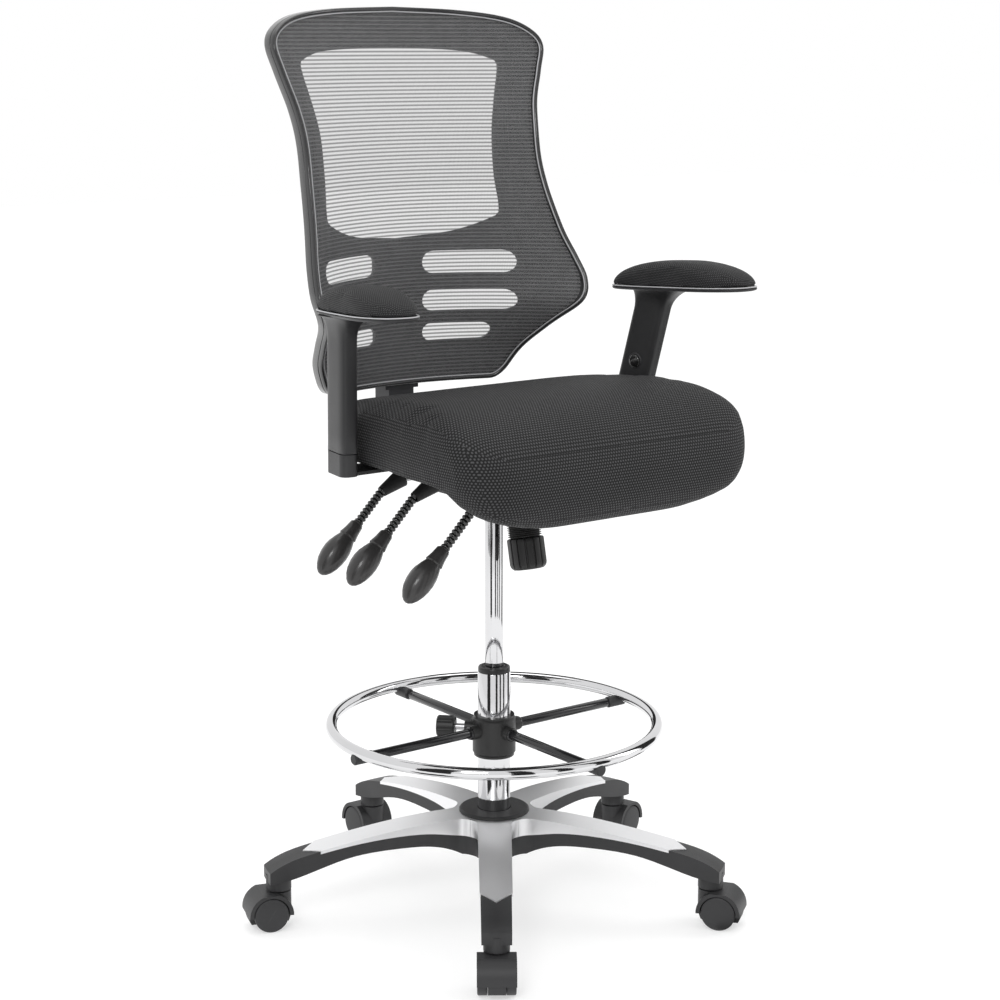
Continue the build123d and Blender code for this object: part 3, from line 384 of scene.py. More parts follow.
def finish(kind):
    """The chair's finishes by name, made once."""
    name = "finish_" + kind
    if name in bpy.data.materials:
        return bpy.data.materials[name]
    colours = bpy.context.scene.chair_colours
    sizes = bpy.context.scene.chair_sizes
    plastics = {   # colour, roughness, grain, coat
        "nylon": (colours.nylon, 0.40, 1400.0),
        "hub_black": (scaled(colours.nylon, 0.8), 0.48, 2200.0),
        "arm_plastic": (colours.plastic, 0.34, 1800.0),
        "back_shell": (colours.shell, 0.42, 1500.0),
        "rim_gloss": (scaled(colours.plastic, 0.7), 0.20, 900.0, 0.6),
        # This pale grey is a painted highlight: it stands for studio light reflected by a glossy black bead
        "highlight_grey": ((0.34, 0.34, 0.35), 0.30, 1200.0),
        "wheel_disc": (scaled(colours.nylon, 1.35), 0.42, 1200.0),
        "grip_grey": (colours.grip, 0.32, 1500.0, 0.3),
        "inset_grey": (scaled(colours.grip, 3.6), 0.16, 600.0, 0.9),
        "bead_black": ((0.008, 0.008, 0.008), 0.10, 500.0, 0.8),
        "boot_rubber": ((0.016, 0.016, 0.016), 0.55, 1600.0),
        "knob_black": ((0.018, 0.018, 0.018), 0.36, 1500.0),
        "acetal": ((0.014, 0.014, 0.014), 0.28, 1200.0),
        "button_black": ((0.006, 0.006, 0.006), 0.06, 400.0, 1.0),
    }
    if kind in plastics:
        return moulded(name, *plastics[kind])
    metals = {   # colour, roughness, smear, metal share
        "gloss_steel": ((0.012, 0.012, 0.013), 0.12, 0.06, 0.0),
        "satin_steel": ((0.018, 0.018, 0.019), 0.32, 0.10, 0.0),
        "zinc": ((0.55, 0.55, 0.56), 0.28, 0.12),
        "chrome": (colours.chrome, 0.045, 0.03),
    }
    if kind in metals:
        return metal(name, *metals[kind])
    makers = {
        "silver_cover": lambda: leg_cover_metal(name, colours.silver),
        "seat_fabric": lambda: spacer_fabric(name, colours.fabric, sizes.knit_pitch),
        "pad_fabric": lambda: spacer_fabric(name, colours.fabric, sizes.knit_pitch * 0.62),
        "back_thread": lambda: thread_mesh(name, colours.thread, sizes.thread_pitch),
    }
    return makers[kind]()


# ---------------- mesh helpers


def mesh_from_rings(name, rings, closed=False, cap=True):
    """Skin over rings that all have the same number of points."""
    count = len(rings[0])
    verts = [tuple(point) for ring in rings for point in ring]
    faces = []
    last = len(rings) if closed else len(rings) - 1
    for r in range(last):
        a = r * count
        b = ((r + 1) % len(rings)) * count
        for k in range(count):
            n = (k + 1) % count
            faces.append((a + k, a + n, b + n, b + k))
    if cap and not closed:
        faces.append(tuple(range(count))[::-1])
        faces.append(tuple((len(rings) - 1) * count + k for k in range(count)))
    mesh = bpy.data.meshes.new(name)
    mesh.from_pydata(verts, [], faces)
    tidy_mesh(mesh)
    return mesh


def poured(bm, mesh):
    """Write an edit into its mesh and end it."""
    bm.to_mesh(mesh)
    bm.free()


def tidy_mesh(mesh):
    """Weld points that coincide and turn all faces outwards."""
    bm = bmesh.new()
    bm.from_mesh(mesh)
    bmesh.ops.remove_doubles(bm, verts=bm.verts, dist=1e-6)
    bmesh.ops.recalc_face_normals(bm, faces=bm.faces)
    poured(bm, mesh)


def axis_frame(origin, direction, about=0.0):
    """Matrix that carries a piece drawn along Z onto a line."""
    turn = Vector(direction).normalized().to_track_quat("Z", "Y").to_matrix().to_4x4()
    return Matrix.Translation(Vector(origin)) @ turn @ Matrix.Rotation(about, 4, "Z")


def turned(name, profile, where=Matrix.Identity(4), steps=None, shape=None):
    """Lathe piece from (radius, height) pairs in mm; shape may change the radius round the axis."""
    steps = steps or bpy.context.scene.chair_sizes.round_steps
    rings = []
    for radius, height in profile:
        ring = []
        for k in range(steps):
            angle = 2 * pi * k / steps
            r = shape(radius, height, angle) if shape else radius
            ring.append(where @ Vector((r * cos(angle) * MM, r * sin(angle) * MM, height * MM)))
        rings.append(ring)
    return mesh_from_rings(name, rings)


def hollow(name, profile, where=Matrix.Identity(4), steps=None):
    """Lathe piece whose profile of (radius, height) pairs is a closed loop that stays off the axis."""
    steps = steps or bpy.context.scene.chair_sizes.round_steps
    rings = []
    for k in range(steps):
        angle = 2 * pi * k / steps
        rings.append([where @ Vector((r * cos(angle) * MM, r * sin(angle) * MM, h * MM)) for r, h in profile])
    return mesh_from_rings(name, rings, closed=True)


def joined(name, meshes):
    """Several meshes as one."""
    bm = bmesh.new()
    for mesh in meshes:
        bm.from_mesh(mesh)
        bpy.data.meshes.remove(mesh)
    mesh = bpy.data.meshes.new(name)
    poured(bm, mesh)
    return mesh


def smooth(obj, angle=35.0):
    """Smooth shading that keeps edges sharper than the angle."""
    obj.data.polygons.foreach_set("use_smooth", [True] * len(obj.data.polygons))
    bm = bmesh.new()
    bm.from_mesh(obj.data)
    for edge in bm.edges:
        edge.smooth = len(edge.link_faces) != 2 or edge.calc_face_angle(0.0) < radians(angle)
    poured(bm, obj.data)


def rounded(obj, width):
    """Small round on every sharp edge."""
    bevel = obj.modifiers.new("Rounded edges", "BEVEL")
    bevel.width = width
    bevel.segments = 2
    bevel.limit_method = "ANGLE"
    bevel.angle_limit = radians(32)


def piece(name, mesh, body, material, replaces=(), edge=0.0, angle=35.0):
    """Put a mesh in the scene as a finished piece of the chair."""
    obj = bpy.data.objects.new(name, mesh)
    bpy.context.scene.collection.objects.link(obj)
    obj.data.materials.clear()
    obj.data.materials.append(finish(material))
    if edge:
        rounded(obj, edge)
        angle = 80.0
    smooth(obj, angle)
    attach(obj, body)
    if replaces:
        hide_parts(*replaces)
    return obj


def dress(node, material, edge=0.0004, angle=30.0):
    """Give a CAD node its finish and a small round on its edges."""
    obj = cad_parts[node]
    obj.data.materials.clear()
    obj.data.materials.append(finish(material))
    smooth(obj, angle)
    if edge:
        rounded(obj, edge)


def catmull(points, per=8, closed=False):
    """Smooth curve through 2-D points."""
    count = len(points)
    path = []
    for k in range(count if closed else count - 1):
        if closed:
            p = [points[(k + j) % count] for j in (-1, 0, 1, 2)]
        else:
            p = [points[max(0, min(count - 1, k + j))] for j in (-1, 0, 1, 2)]
        for step in range(per):
            t = step / per
            path.append(tuple(0.5 * (2 * p[1][c] + (p[2][c] - p[0][c]) * t
                                     + (2 * p[0][c] - 5 * p[1][c] + 4 * p[2][c] - p[3][c]) * t * t
                                     + (3 * p[1][c] - p[0][c] - 3 * p[2][c] + p[3][c]) * t ** 3)
                              for c in range(2)))
    if not closed:
        path.append(tuple(points[-1]))
    return path


def even(loop, gap):
    """Closed loop with evenly spaced points."""
    total = [0.0]
    closed = loop + loop[:1]
    for a, b in zip(closed, closed[1:]):
        total.append(total[-1] + hypot(b[0] - a[0], b[1] - a[1]))
    count = max(12, round(total[-1] / gap))
    result = []
    k = 0
    for n in range(count):
        want = total[-1] * n / count
        while total[k + 1] < want:
            k += 1
        share = (want - total[k]) / max(1e-9, total[k + 1] - total[k])
        a, b = closed[k], closed[k + 1]
        result.append((a[0] + share * (b[0] - a[0]), a[1] + share * (b[1] - a[1])))
    return result


def normals_of(loop):
    """Outward direction at each point of a clockwise loop that starts at its top."""
    count = len(loop)
    result = []
    for k in range(count):
        a, b = loop[k - 1], loop[(k + 1) % count]
        run = hypot(b[0] - a[0], b[1] - a[1])
        result.append((-(b[1] - a[1]) / run, (b[0] - a[0]) / run))
    return result


def grown(loop, by):
    """Loop moved outwards by a distance."""
    return [(p[0] + n[0] * by, p[1] + n[1] * by) for p, n in zip(loop, normals_of(loop))]


def panel(outer, holes, cell):
    """Flat panel in the plane of two coordinates, cut into a grid so that it can be bent."""
    bm = bmesh.new()
    edges = []
    for loop in [outer] + holes:
        verts = [bm.verts.new((x, 0, z)) for x, z in loop]
        edges += [bm.edges.new((a, b)) for a, b in zip(verts, verts[1:] + verts[:1])]
    bmesh.ops.triangle_fill(bm, edges=edges, use_beauty=True, use_dissolve=False)
    for axis in (0, 2):
        low = min(v.co[axis] for v in bm.verts)
        high = max(v.co[axis] for v in bm.verts)
        at = low + cell / 2
        while at < high:
            spot = Vector((0, 0, 0))
            spot[axis] = at
            normal = Vector((0, 0, 0))
            normal[axis] = 1
            geom = list(bm.verts) + list(bm.edges) + list(bm.faces)
            bmesh.ops.bisect_plane(bm, geom=geom, dist=1e-4, plane_co=spot, plane_no=normal)
            at += cell
    return bm


# ---------------- backrest


def section_at(z):
    """Depth of the middle and forward wrap of the backrest at a height, on a smooth curve."""
    rows = BACK_SECTIONS
    k = max(1, min(len(rows) - 2, next((i for i, r in enumerate(rows) if r[0] > z), len(rows) - 1)))
    p = [rows[max(0, min(len(rows) - 1, k + j))] for j in (-2, -1, 0, 1)]
    t = (z - p[1][0]) / (p[2][0] - p[1][0])
    result = []
    for c in (1, 2):
        run = p[2][0] - p[1][0]
        before = (p[2][c] - p[0][c]) / (p[2][0] - p[0][0]) * run if p[2][0] != p[0][0] else 0
        after = (p[3][c] - p[1][c]) / (p[3][0] - p[1][0]) * run if p[3][0] != p[1][0] else 0
        result.append((2 * t ** 3 - 3 * t ** 2 + 1) * p[1][c] + (t ** 3 - 2 * t ** 2 + t) * before
                      + (3 * t ** 2 - 2 * t ** 3) * p[2][c] + (t ** 3 - t ** 2) * after)
    return result


def on_back(x, z, behind):
    """Point of the backrest's sheet in metres, set back by a distance in mm."""
    middle, wrap = section_at(z)
    return Vector((x * MM, (middle - wrap * (x / WRAP_AT) ** 2 + behind) * MM, z * MM))


def back_loop():
    """Whole outline of the backrest, clockwise from the top centre."""
    half = catmull(BACK_OUTLINE, 10)
    for step in range(1, 6):
        t = step / 6
        half.append(tuple((1 - t) ** 2 * BACK_OUTLINE[-1][c] + 2 * t * (1 - t) * BACK_CORNER[0][c]
                          + t * t * BACK_CORNER[1][c] for c in range(2)))
    half.append(BACK_CORNER[1])
    half.append((0, BACK_BOTTOM))
    return even(half + [(-x, z) for x, z in half[-2:0:-1]], 6.0)


def round_slot(low, high, inner, outer):
    """Outline of a slot with round ends."""
    r = (high - low) / 2
    middle = (high + low) / 2
    loop = []
    for centre, start in ((outer - r, -90), (inner + r, 90)):
        for step in range(13):
            angle = radians(start + 15 * step)
            loop.append((centre + r * cos(angle), middle + r * sin(angle)))
    return loop


def mirrored(loop):
    return [(-x, z) for x, z in loop]


def back_holes():
    window = catmull(WINDOW, 8)
    holes = [even(window + mirrored(window)[-2:0:-1], 7.0)]
    for slot in SLOTS:
        holes += [round_slot(*slot), mirrored(round_slot(*slot))]
    return holes


def bend_panel(bm, behind):
    """Bend a flat panel to the backrest's sheet."""
    for v in bm.verts:
        v.co = on_back(v.co.x, v.co.z, behind)


def along_back(name, loop, section):
    """Frame piece swept round an outline; section holds (outwards, backwards) pairs in mm."""
    rings = []
    for (x, z), (nx, nz) in zip(loop, normals_of(loop)):
        base = on_back(x, z, 0)
        rings.append([base + Vector((nx * out * MM, back * MM, nz * out * MM)) for out, back in section])
    return mesh_from_rings(name, rings, closed=True)


def disc_section(out, back, radius, steps=10):
    """Round section about a point."""
    return [(out + radius * cos(2 * pi * k / steps), back + radius * sin(2 * pi * k / steps))
            for k in range(steps)]


class CHAIR_OT_back_mesh(bpy.types.Operator):
    """Stretch the see-through mesh across the backrest"""
    bl_idname = "chair.back_mesh"
    bl_label = "Back mesh"

    def execute(self, context):
        bm = panel(grown(back_loop(), -4.0), [], PANEL_CELL)
        bend_panel(bm, MESH_BEHIND)
        mesh = bpy.data.meshes.new("back_mesh_cloth")
        area = sum(f.calc_area() for f in bm.faces)
        bmesh.ops.recalc_face_normals(bm, faces=bm.faces)
        poured(bm, mesh)
        cloth = piece("back_mesh_cloth", mesh, "backrest", "back_thread", ["back_mesh"], angle=70)
        return {"FINISHED"}


class CHAIR_OT_back_frame(bpy.types.Operator):
    """Make the rear shell, its raised rib, the rim and its bead, painted pale grey as a highlight"""
    bl_idname = "chair.back_frame"
    bl_label = "Back frame"

    def execute(self, context):
        loop = back_loop()
        bm = panel(grown(loop, -5.0), back_holes(), PANEL_CELL)
        bend_panel(bm, SHELL_BEHIND)
        mesh = bpy.data.meshes.new("back_shell_panel")
        bmesh.ops.recalc_face_normals(bm, faces=bm.faces)
        if sum(f.normal.y for f in bm.faces) < 0:
            bmesh.ops.reverse_faces(bm, faces=bm.faces)
        bmesh.ops.solidify(bm, geom=list(bm.faces), thickness=-SHELL_T * MM)
        bmesh.ops.recalc_face_normals(bm, faces=bm.faces)
        poured(bm, mesh)
        piece("back_shell_panel", mesh, "backrest", "back_shell", ["back_shell"], edge=0.0009)
        piece("back_frame", along_back("back_frame", loop, RIM_SECTION), "backrest", "rim_gloss",
              ["back_rim"], angle=50)
        # The bead's pale grey is a painted highlight along the inner edge of the rim
        bead = along_back("back_frame_bead", loop, disc_section(-6.9, -1.3, 1.1))
        piece("back_frame_bead", bead, "backrest", "highlight_grey", angle=80)
        ribs = [along_back("rib", grown(loop, -inset), disc_section(0, 10.4, 1.6)) for inset in RIB_INSETS]
        piece("back_shell_ribs", joined("back_shell_ribs", ribs), "backrest", "back_shell", angle=80)
        dress("back_carrier", "back_shell", 0.0012)
        return {"FINISHED"}


# ---------------- soft goods


def stuffed(name, source, voxel, cap, shrink, soften):
    """Swell a closed mesh with cloth pressure, no point moving further than cap, in metres.

    The flat underside stays where it is.
    """
    obj = bpy.data.objects.new(name, source)
    bpy.context.scene.collection.objects.link(obj)
    grid = obj.modifiers.new("Even grid", "REMESH")
    grid.mode = "VOXEL"
    grid.voxel_size = voxel
    soft = obj.modifiers.new("Softened", "SMOOTH")
    soft.factor = 0.5
    soft.iterations = soften
    take_shape(obj)
    mesh = obj.data
    middle = sum((v.co for v in mesh.vertices), Vector()) / len(mesh.vertices)
    for v in mesh.vertices:
        v.co -= v.normal * shrink
    start = [v.co.copy() for v in mesh.vertices]
    facing = [v.normal.copy() for v in mesh.vertices]
    cloth = obj.modifiers.new("Stuffing", "CLOTH")
    cloth.settings.quality = 5
    cloth.settings.use_pressure = True
    cloth.settings.uniform_pressure_force = STUFFING_PRESSURE
    cloth.settings.effector_weights.gravity = 0.0
    cloth.collision_settings.use_collision = False
    cloth.point_cache.frame_start = 1
    cloth.point_cache.frame_end = STUFFING_FRAMES
    scene = bpy.context.scene
    for number in range(1, STUFFING_FRAMES + 1):
        scene.frame_set(number)
    take_shape(obj)
    scene.frame_set(1)
    mesh = obj.data
    for v, before, out in zip(mesh.vertices, start, facing):
        move = v.co - before
        if move.length > cap:
            move = move.normalized() * cap
        if before.z < middle.z:
            flat = max(0.0, -out.z - 0.55) / 0.45
            move *= 1.0 - flat
        v.co = before + move
    finer = obj.modifiers.new("Finer", "SUBSURF")
    finer.levels = 1
    finer.render_levels = 1
    take_shape(obj)
    return obj


def take_shape(obj):
    """Replace an object's mesh with what its modifiers make of it."""
    bpy.context.view_layer.update()
    shaped = bpy.data.meshes.new_from_object(obj.evaluated_get(bpy.context.evaluated_depsgraph_get()))
    old = obj.data
    obj.modifiers.clear()
    obj.data = shaped
    bpy.data.meshes.remove(old)


class CHAIR_OT_seat(bpy.types.Operator):
    """Stuff the seat cushion and finish the board under it"""
    bl_idname = "chair.seat"
    bl_label = "Seat"

    def execute(self, context):
        sizes = context.scene.chair_sizes
        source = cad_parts["seat_cushion"].data.copy()
        seat = stuffed("seat_cushion_cover", source, sizes.seat_voxel, sizes.seat_swell, -0.005, 70)
        for v in seat.data.vertices:
            by_arm = max(0.0, 1.0 - abs(v.co.y - ARM_DEPTH) / ARM_ROOM)
            reach = SEAT_BY_ARM + SEAT_PAST_ARM * (1.0 - by_arm)
            v.co.x = max(-reach, min(reach, v.co.x))
        mesh = seat.data
        bpy.data.objects.remove(seat)
        cover = piece("seat_cushion_cover", mesh, "seat", "seat_fabric",
                      ["seat_cushion"], angle=180)
        dress("seat_pan", "hub_black")
        return {"FINISHED"}


def pad_frame(side):
    """Matrix that carries a piece drawn flat to an arm pad's place."""
    flip = Matrix.Scale(SIDES[side], 4, (1, 0, 0))
    turn = Matrix.Rotation(ARM_TOE, 4, "Z") @ Matrix.Rotation(-PAD_RISE, 4, "X")
    return flip @ Matrix.Translation(PAD_CENTRE * MM) @ turn


def pad_loop(grow):
    """Plan of an arm pad in mm, clockwise from its rear end."""
    sizes = bpy.context.scene.chair_sizes
    half_w = sizes.pad_width / MM / 2
    half_l = sizes.pad_length / MM / 2
    half = [(half_w * across, half_l * along) for across, along in PAD_PLAN]
    path = catmull(half + [(-x, y) for x, y in half[-2:0:-1]], 8, closed=True)
    return grown(even(path, 5.0), grow)


def pad_rings(side, rows):
    """Rings of the pad's plan at (growth, height) in mm, in place."""
    where = pad_frame(side)
    return [[where @ Vector((x * MM, y * MM, height * MM)) for x, y in pad_loop(grow)]
            for grow, height in rows]


def crown_mesh(side):
    """Crowned top of an arm pad."""
    height = bpy.context.scene.chair_sizes.pad_height / MM
    where = pad_frame(side)
    edge = pad_loop(1.0)
    rings = [[where @ Vector((x * 0.9 * MM, y * 0.94 * MM, 0.6 * MM)) for x, y in edge]]
    for step in range(0, 13):
        lift = sin(pi / 2 * step / 12)
        pull = cos(pi / 2 * step / 12)
        ring = []
        for x, y in edge:
            ring.append(where @ Vector((x * pull ** 0.55 * MM, y * pull ** 0.80 * MM,
                                        (0.6 + (height - 2) * lift) * MM)))
        rings.append(ring)
    return mesh_from_rings("crown", rings[:-1])


class CHAIR_OT_arm_pads(bpy.types.Operator):
    """Stuff the two arm pads and lay under each a thin line painted pale grey as a highlight"""
    bl_idname = "chair.arm_pads"
    bl_label = "Arm pads"

    def execute(self, context):
        for side in SIDES:
            made = stuffed("arm_pad_cover_" + side, crown_mesh(side), 0.0036, 0.0035, 0.0008, 5)
            mesh = made.data
            bpy.data.objects.remove(made)
            pad = piece("arm_pad_cover_" + side, mesh, "arm_" + side, "pad_fabric",
                        ["arm_pad_" + side], angle=180)
            # The pale grey line is a painted highlight where the pad meets its base
            line = pad_rings(side, [(-2.4, -0.6), (0.2, -0.5), (0.7, 0.2), (0.3, 0.9), (-2.4, 1.0)])
            piece("arm_pad_line_" + side, mesh_from_rings("line", line, closed=True), "arm_" + side,
                  "highlight_grey", angle=60)
        return {"FINISHED"}


# ---------------- arm posts


def arm_centre(z):
    """Middle of an arm post at a height, in mm."""
    share = (z - ARM_FOOT.z) / (ARM_HEAD.z - ARM_FOOT.z)
    return ARM_FOOT.lerp(ARM_HEAD, share)


def post_ring(side, z, half_w, front, rear, shift, steps=56, square=4.5):
    """Rounded section of a post at a height, with separate reach to the front and the rear."""
    centre = arm_centre(z)
    ring = []
    for k in range(steps):
        angle = 2 * pi * k / steps
        c, s = cos(angle), sin(angle)
        across = half_w * abs(c) ** (2 / square) * (1 if c > 0 else -1)
        reach = rear if s > 0 else front
        along = reach * abs(s) ** (2 / square) * (1 if s > 0 else -1)
        x = centre.x + across * cos(ARM_TOE) - along * sin(ARM_TOE)
        y = centre.y + across * sin(ARM_TOE) + along * cos(ARM_TOE)
        height = z
        if shift > 0:
            plane = PAD_CENTRE.z - (y - PAD_CENTRE.y) * tan(PAD_RISE) - PAD_BASE
            height = z + (plane - z) * shift
        ring.append(Vector((SIDES[side] * x * MM, y * MM, height * MM)))
    return ring


def post_mesh(side):
    """Straight post that flares under the pad, mostly to the front."""
    rings = [post_ring(side, 733, 12.3, 28.8, 28.8, 0)]
    for z in (734.2, 760, 790, 820, 850, 880, FLARE_LOW):
        rings.append(post_ring(side, z, POST_HALF_W, POST_REACH, POST_REACH, 0))
    for step in range(1, 11):
        s = step / 10
        rings.append(post_ring(side, FLARE_LOW + FLARE_RISE * s, POST_HALF_W + 15 * s ** 2.4,
                               POST_REACH + 46 * s ** 3.0, POST_REACH + 12 * s ** 2.4, s ** 3,
                               square=4.5 - 1.5 * s))
    return mesh_from_rings("post", rings)


def button_frame(side):
    """Matrix that carries a piece drawn along Z onto the inner face of a post."""
    inward = Vector((-cos(ARM_TOE), -sin(ARM_TOE), 0))
    spot = arm_centre(BUTTON_Z) + inward * POST_HALF_W
    flip = SIDES[side]
    return axis_frame(Vector((flip * spot.x, spot.y, spot.z)) * MM, (flip * inward.x, inward.y, 0))


class CHAIR_OT_arm_posts(bpy.types.Operator):
    """Make the arm posts with their flared heads, pad bases, button rings and buttons"""
    bl_idname = "chair.arm_posts"
    bl_label = "Arm posts"

    def execute(self, context):
        for side in SIDES:
            base = pad_rings(side, [(-20, -0.8), (-3, -0.8), (-1.2, -0.9), (0.2, -1.8), (0.3, -3.2),
                                    (-0.6, -4.6), (-3.0, -5.6), (-20, -5.8)])
            meshes = [post_mesh(side), mesh_from_rings("base", base)]
            piece("arm_post_" + side, joined("arm_post_" + side, meshes), "arm_" + side, "arm_plastic",
                  ["arm_sleeve_" + side], angle=45)
            lip = [(10.2, -2.0), (10.2, 0.6), (11.0, 1.2), (12.2, 0.8), (13.0, -0.2), (13.0, -2.0)]
            ring = hollow("ring", lip, button_frame(side), 48)
            piece("arm_button_ring_" + side, ring, "arm_" + side, "arm_plastic", angle=50)
            dome = [(10.0, -4.0), (10.0, 1.6), (9.6, 2.6), (8.4, 3.4), (6.0, 3.9), (3.0, 4.0), (0.4, 4.0)]
            piece("arm_button_dome_" + side, turned("dome", dome, button_frame(side), 48), "button_" + side,
                  "button_black", ["arm_button_" + side], angle=60)
        dress("arm_brackets", "arm_plastic", 0.0012)
        return {"FINISHED"}


# ---------------- levers


def lever_frame(name):
    """Matrix that carries a piece drawn along Z onto a lever, from where its sleeve starts."""
    depth, elbow = LEVERS[name]
    distance = SLEEVE_START[name]
    spot = Vector((elbow - distance * cos(LEVER_DROOP), depth, LEVER_Z - distance * sin(LEVER_DROOP))) * MM
    ahead = Vector((-cos(LEVER_DROOP), 0, -sin(LEVER_DROOP)))
    up = Vector((-sin(LEVER_DROOP), 0, cos(LEVER_DROOP)))
    side = ahead.cross(up)
    turn = Matrix((up, side, ahead)).transposed().to_4x4()
    return Matrix.Translation(spot) @ turn


def egg_radius(height):
    """Radius of a lever grip at a height along it."""
    for (r0, h0), (r1, h1) in zip(EGG, EGG[1:]):
        if h0 <= height <= h1 and h1 > h0:
            t = (height - h0) / (h1 - h0)
            return r0 + (r1 - r0) * (t * t * (3 - 2 * t) * 0.3 + t * 0.7)
    return EGG[-1][0]


def egg_shape(radius, height, angle):
    """Grip section: a little flatter underneath."""
    return radius * (1.0 - 0.08 * max(0.0, -cos(angle)) - 0.05 * sin(angle) ** 2)


def inset_mesh(where):
    """Oval panel that stands just proud of a grip."""
    rings = []
    for row in range(9):
        rho = row / 8
        ring = []
        for k in range(40):
            turn = 2 * pi * k / 40
            height = PANEL_MIDDLE + PANEL_REACH * rho * cos(turn)
            angle = PANEL_FACING + 0.72 * rho * sin(turn)
            r = egg_shape(egg_radius(height), height, angle) + 0.9 - 1.3 * rho ** 6
            ring.append(where @ Vector((r * cos(angle) * MM, r * sin(angle) * MM, height * MM)))
        rings.append(ring)
    mesh = mesh_from_rings("inset", rings[1:], cap=False)
    bm = bmesh.new()
    bm.from_mesh(mesh)
    bmesh.ops.holes_fill(bm, edges=[e for e in bm.edges if e.is_boundary], sides=40)
    bmesh.ops.recalc_face_normals(bm, faces=bm.faces)
    poured(bm, mesh)
    return mesh


class CHAIR_OT_levers(bpy.types.Operator):
    """Make the lever grips: beaded sleeve, egg and oval panel; finish the rods and boots"""
    bl_idname = "chair.levers"
    bl_label = "Levers"

    def execute(self, context):
        for name in LEVERS:
            where = lever_frame(name)
            egg = turned("egg", [(4.2, 66)] + EGG, where, 64, egg_shape)
            collar_shape = [(4.2, 65.0), (9.0, 65.2), (9.0, 67.5), (4.2, 67.6)]
            meshes = [egg, turned("collar", collar_shape, where, 6)]
            piece("lever_grip_egg_" + name, joined("egg", meshes), "lever_" + name, "grip_grey",
                  ["lever_grip_" + name], angle=40)
            beads = []
            for k in range(BEAD_COUNT):
                low = BEAD_PITCH * k + 0.6
                bulge = [(5.2 + 2.2 * sin(pi * j / 6), low + 6.2 * j / 6) for j in range(1, 6)]
                beads += [(5.2, low)] + bulge + [(5.2, low + 6.3)]
            sleeve = turned("sleeve", beads, where, 40)
            piece("lever_sleeve_" + name, sleeve, "lever_" + name, "bead_black", angle=50)
            piece("lever_panel_" + name, inset_mesh(where), "lever_" + name, "inset_grey", angle=60)
            dress("lever_rod_" + name, "zinc", 0)
        for name in ("a", "b"):
            dress("lever_boot_" + name, "boot_rubber")
        return {"FINISHED"}


# ---------------- mechanism


def tension_frame(drop):
    """Matrix that carries a piece drawn along Z down the tension bolt, a drop from its top."""
    down = Vector((0, -sin(TENSION_LEAN), -cos(TENSION_LEAN)))
    return axis_frame(TENSION_TOP * MM + down * drop * MM, down)


def fluted(radius, height, angle):
    """Tension knob section with dents up its side."""
    if radius < 20 or height > 44:
        return radius
    wave = abs(((angle * FLUTE_COUNT / (2 * pi)) % 1.0) - 0.5) * 2
    return radius - (FLUTE_DEPTH if wave > FLUTE_SHARE else 0.0)


class CHAIR_OT_mechanism(bpy.types.Operator):
    """Finish the tilt box, seat plate and back bar, and make the tension knob and bellows"""
    bl_idname = "chair.mechanism"
    bl_label = "Mechanism"

    def execute(self, context):
        ribs = [(7.0, 0.5)]
        for k in range(BELLOWS_RIBS):
            low = 0.8 + 2.75 * k
            ribs += [(22.2, low), (25.0, low + 0.7), (25.0, low + 1.3), (22.2, low + 2.0)]
        ribs += [(22.2, 25.5), (7.0, 25.6)]
        piece("tension_concertina", hollow("bellows", ribs, tension_frame(0)), "lift", "boot_rubber",
              ["tension_bellows"], angle=20)
        body = [(6.2, 0.0), (24.0, 0.0), (26.6, 0.9), (27.4, 2.6), (27.4, 7.0), (27.4, 7.2), (27.4, 24.0),
                (27.4, 38.0), (26.6, 41.5), (24.8, 44.4), (22.2, 46.6), (19.5, 47.0), (18.4, 45.2),
                (10.0, 44.4), (0.5, 44.2)]
        knob = turned("knob", body, tension_frame(26.5), 14 * FLUTE_COUNT, fluted)
        piece("tension_handwheel", knob, "tension", "knob_black", ["tension_knob"], angle=28)
        for node in ("tilt_housing", "seat_plate", "back_bar"):
            dress(node, "satin_steel", 0.001)
        for node in ("cross_shafts", "tension_bolt", "release_button", "thrust_bearing"):
            dress(node, "zinc", 0.0003)
        return {"FINISHED"}


# ---------------- gas lift and foot ring


class CHAIR_OT_gas_lift(bpy.types.Operator):
    """Turn the chromed outer tube and cylinder and the black guide collar"""
    bl_idname = "chair.gas_lift"
    bl_label = "Gas lift"

    def execute(self, context):
        tube = [(23.0, 89), (24.6, 89), (25, 89.6), (25, 230), (25, 364.8), (24.6, 365.7), (23.2, 366),
                (23.0, 340), (23.0, 200)]
        piece("lift_outer_tube", hollow("tube", tube, steps=96), "root", "chrome",
              ["column_tube"], angle=50)
        collar = [(14.1, 304), (22.9, 304), (22.9, 366.2), (24.2, 366.2), (24.4, 367), (24.4, 371.6),
                  (23.6, 373.2), (21.8, 374), (16.5, 374.2), (15.2, 373.0), (14.1, 373.0)]
        piece("lift_guide_collar", hollow("collar", collar, steps=96), "root", "acetal",
              ["column_bushing"])
        rod = [(5.1, 312), (13.4, 312), (14.0, 312.8), (14.0, 480), (14.0, 651), (13.4, 652), (5.1, 652)]
        piece("lift_cylinder", hollow("cylinder", rod, steps=96), "lift", "chrome",
              ["gas_cylinder"], angle=50)
        dress("gas_rod", "zinc")
        return {"FINISHED"}


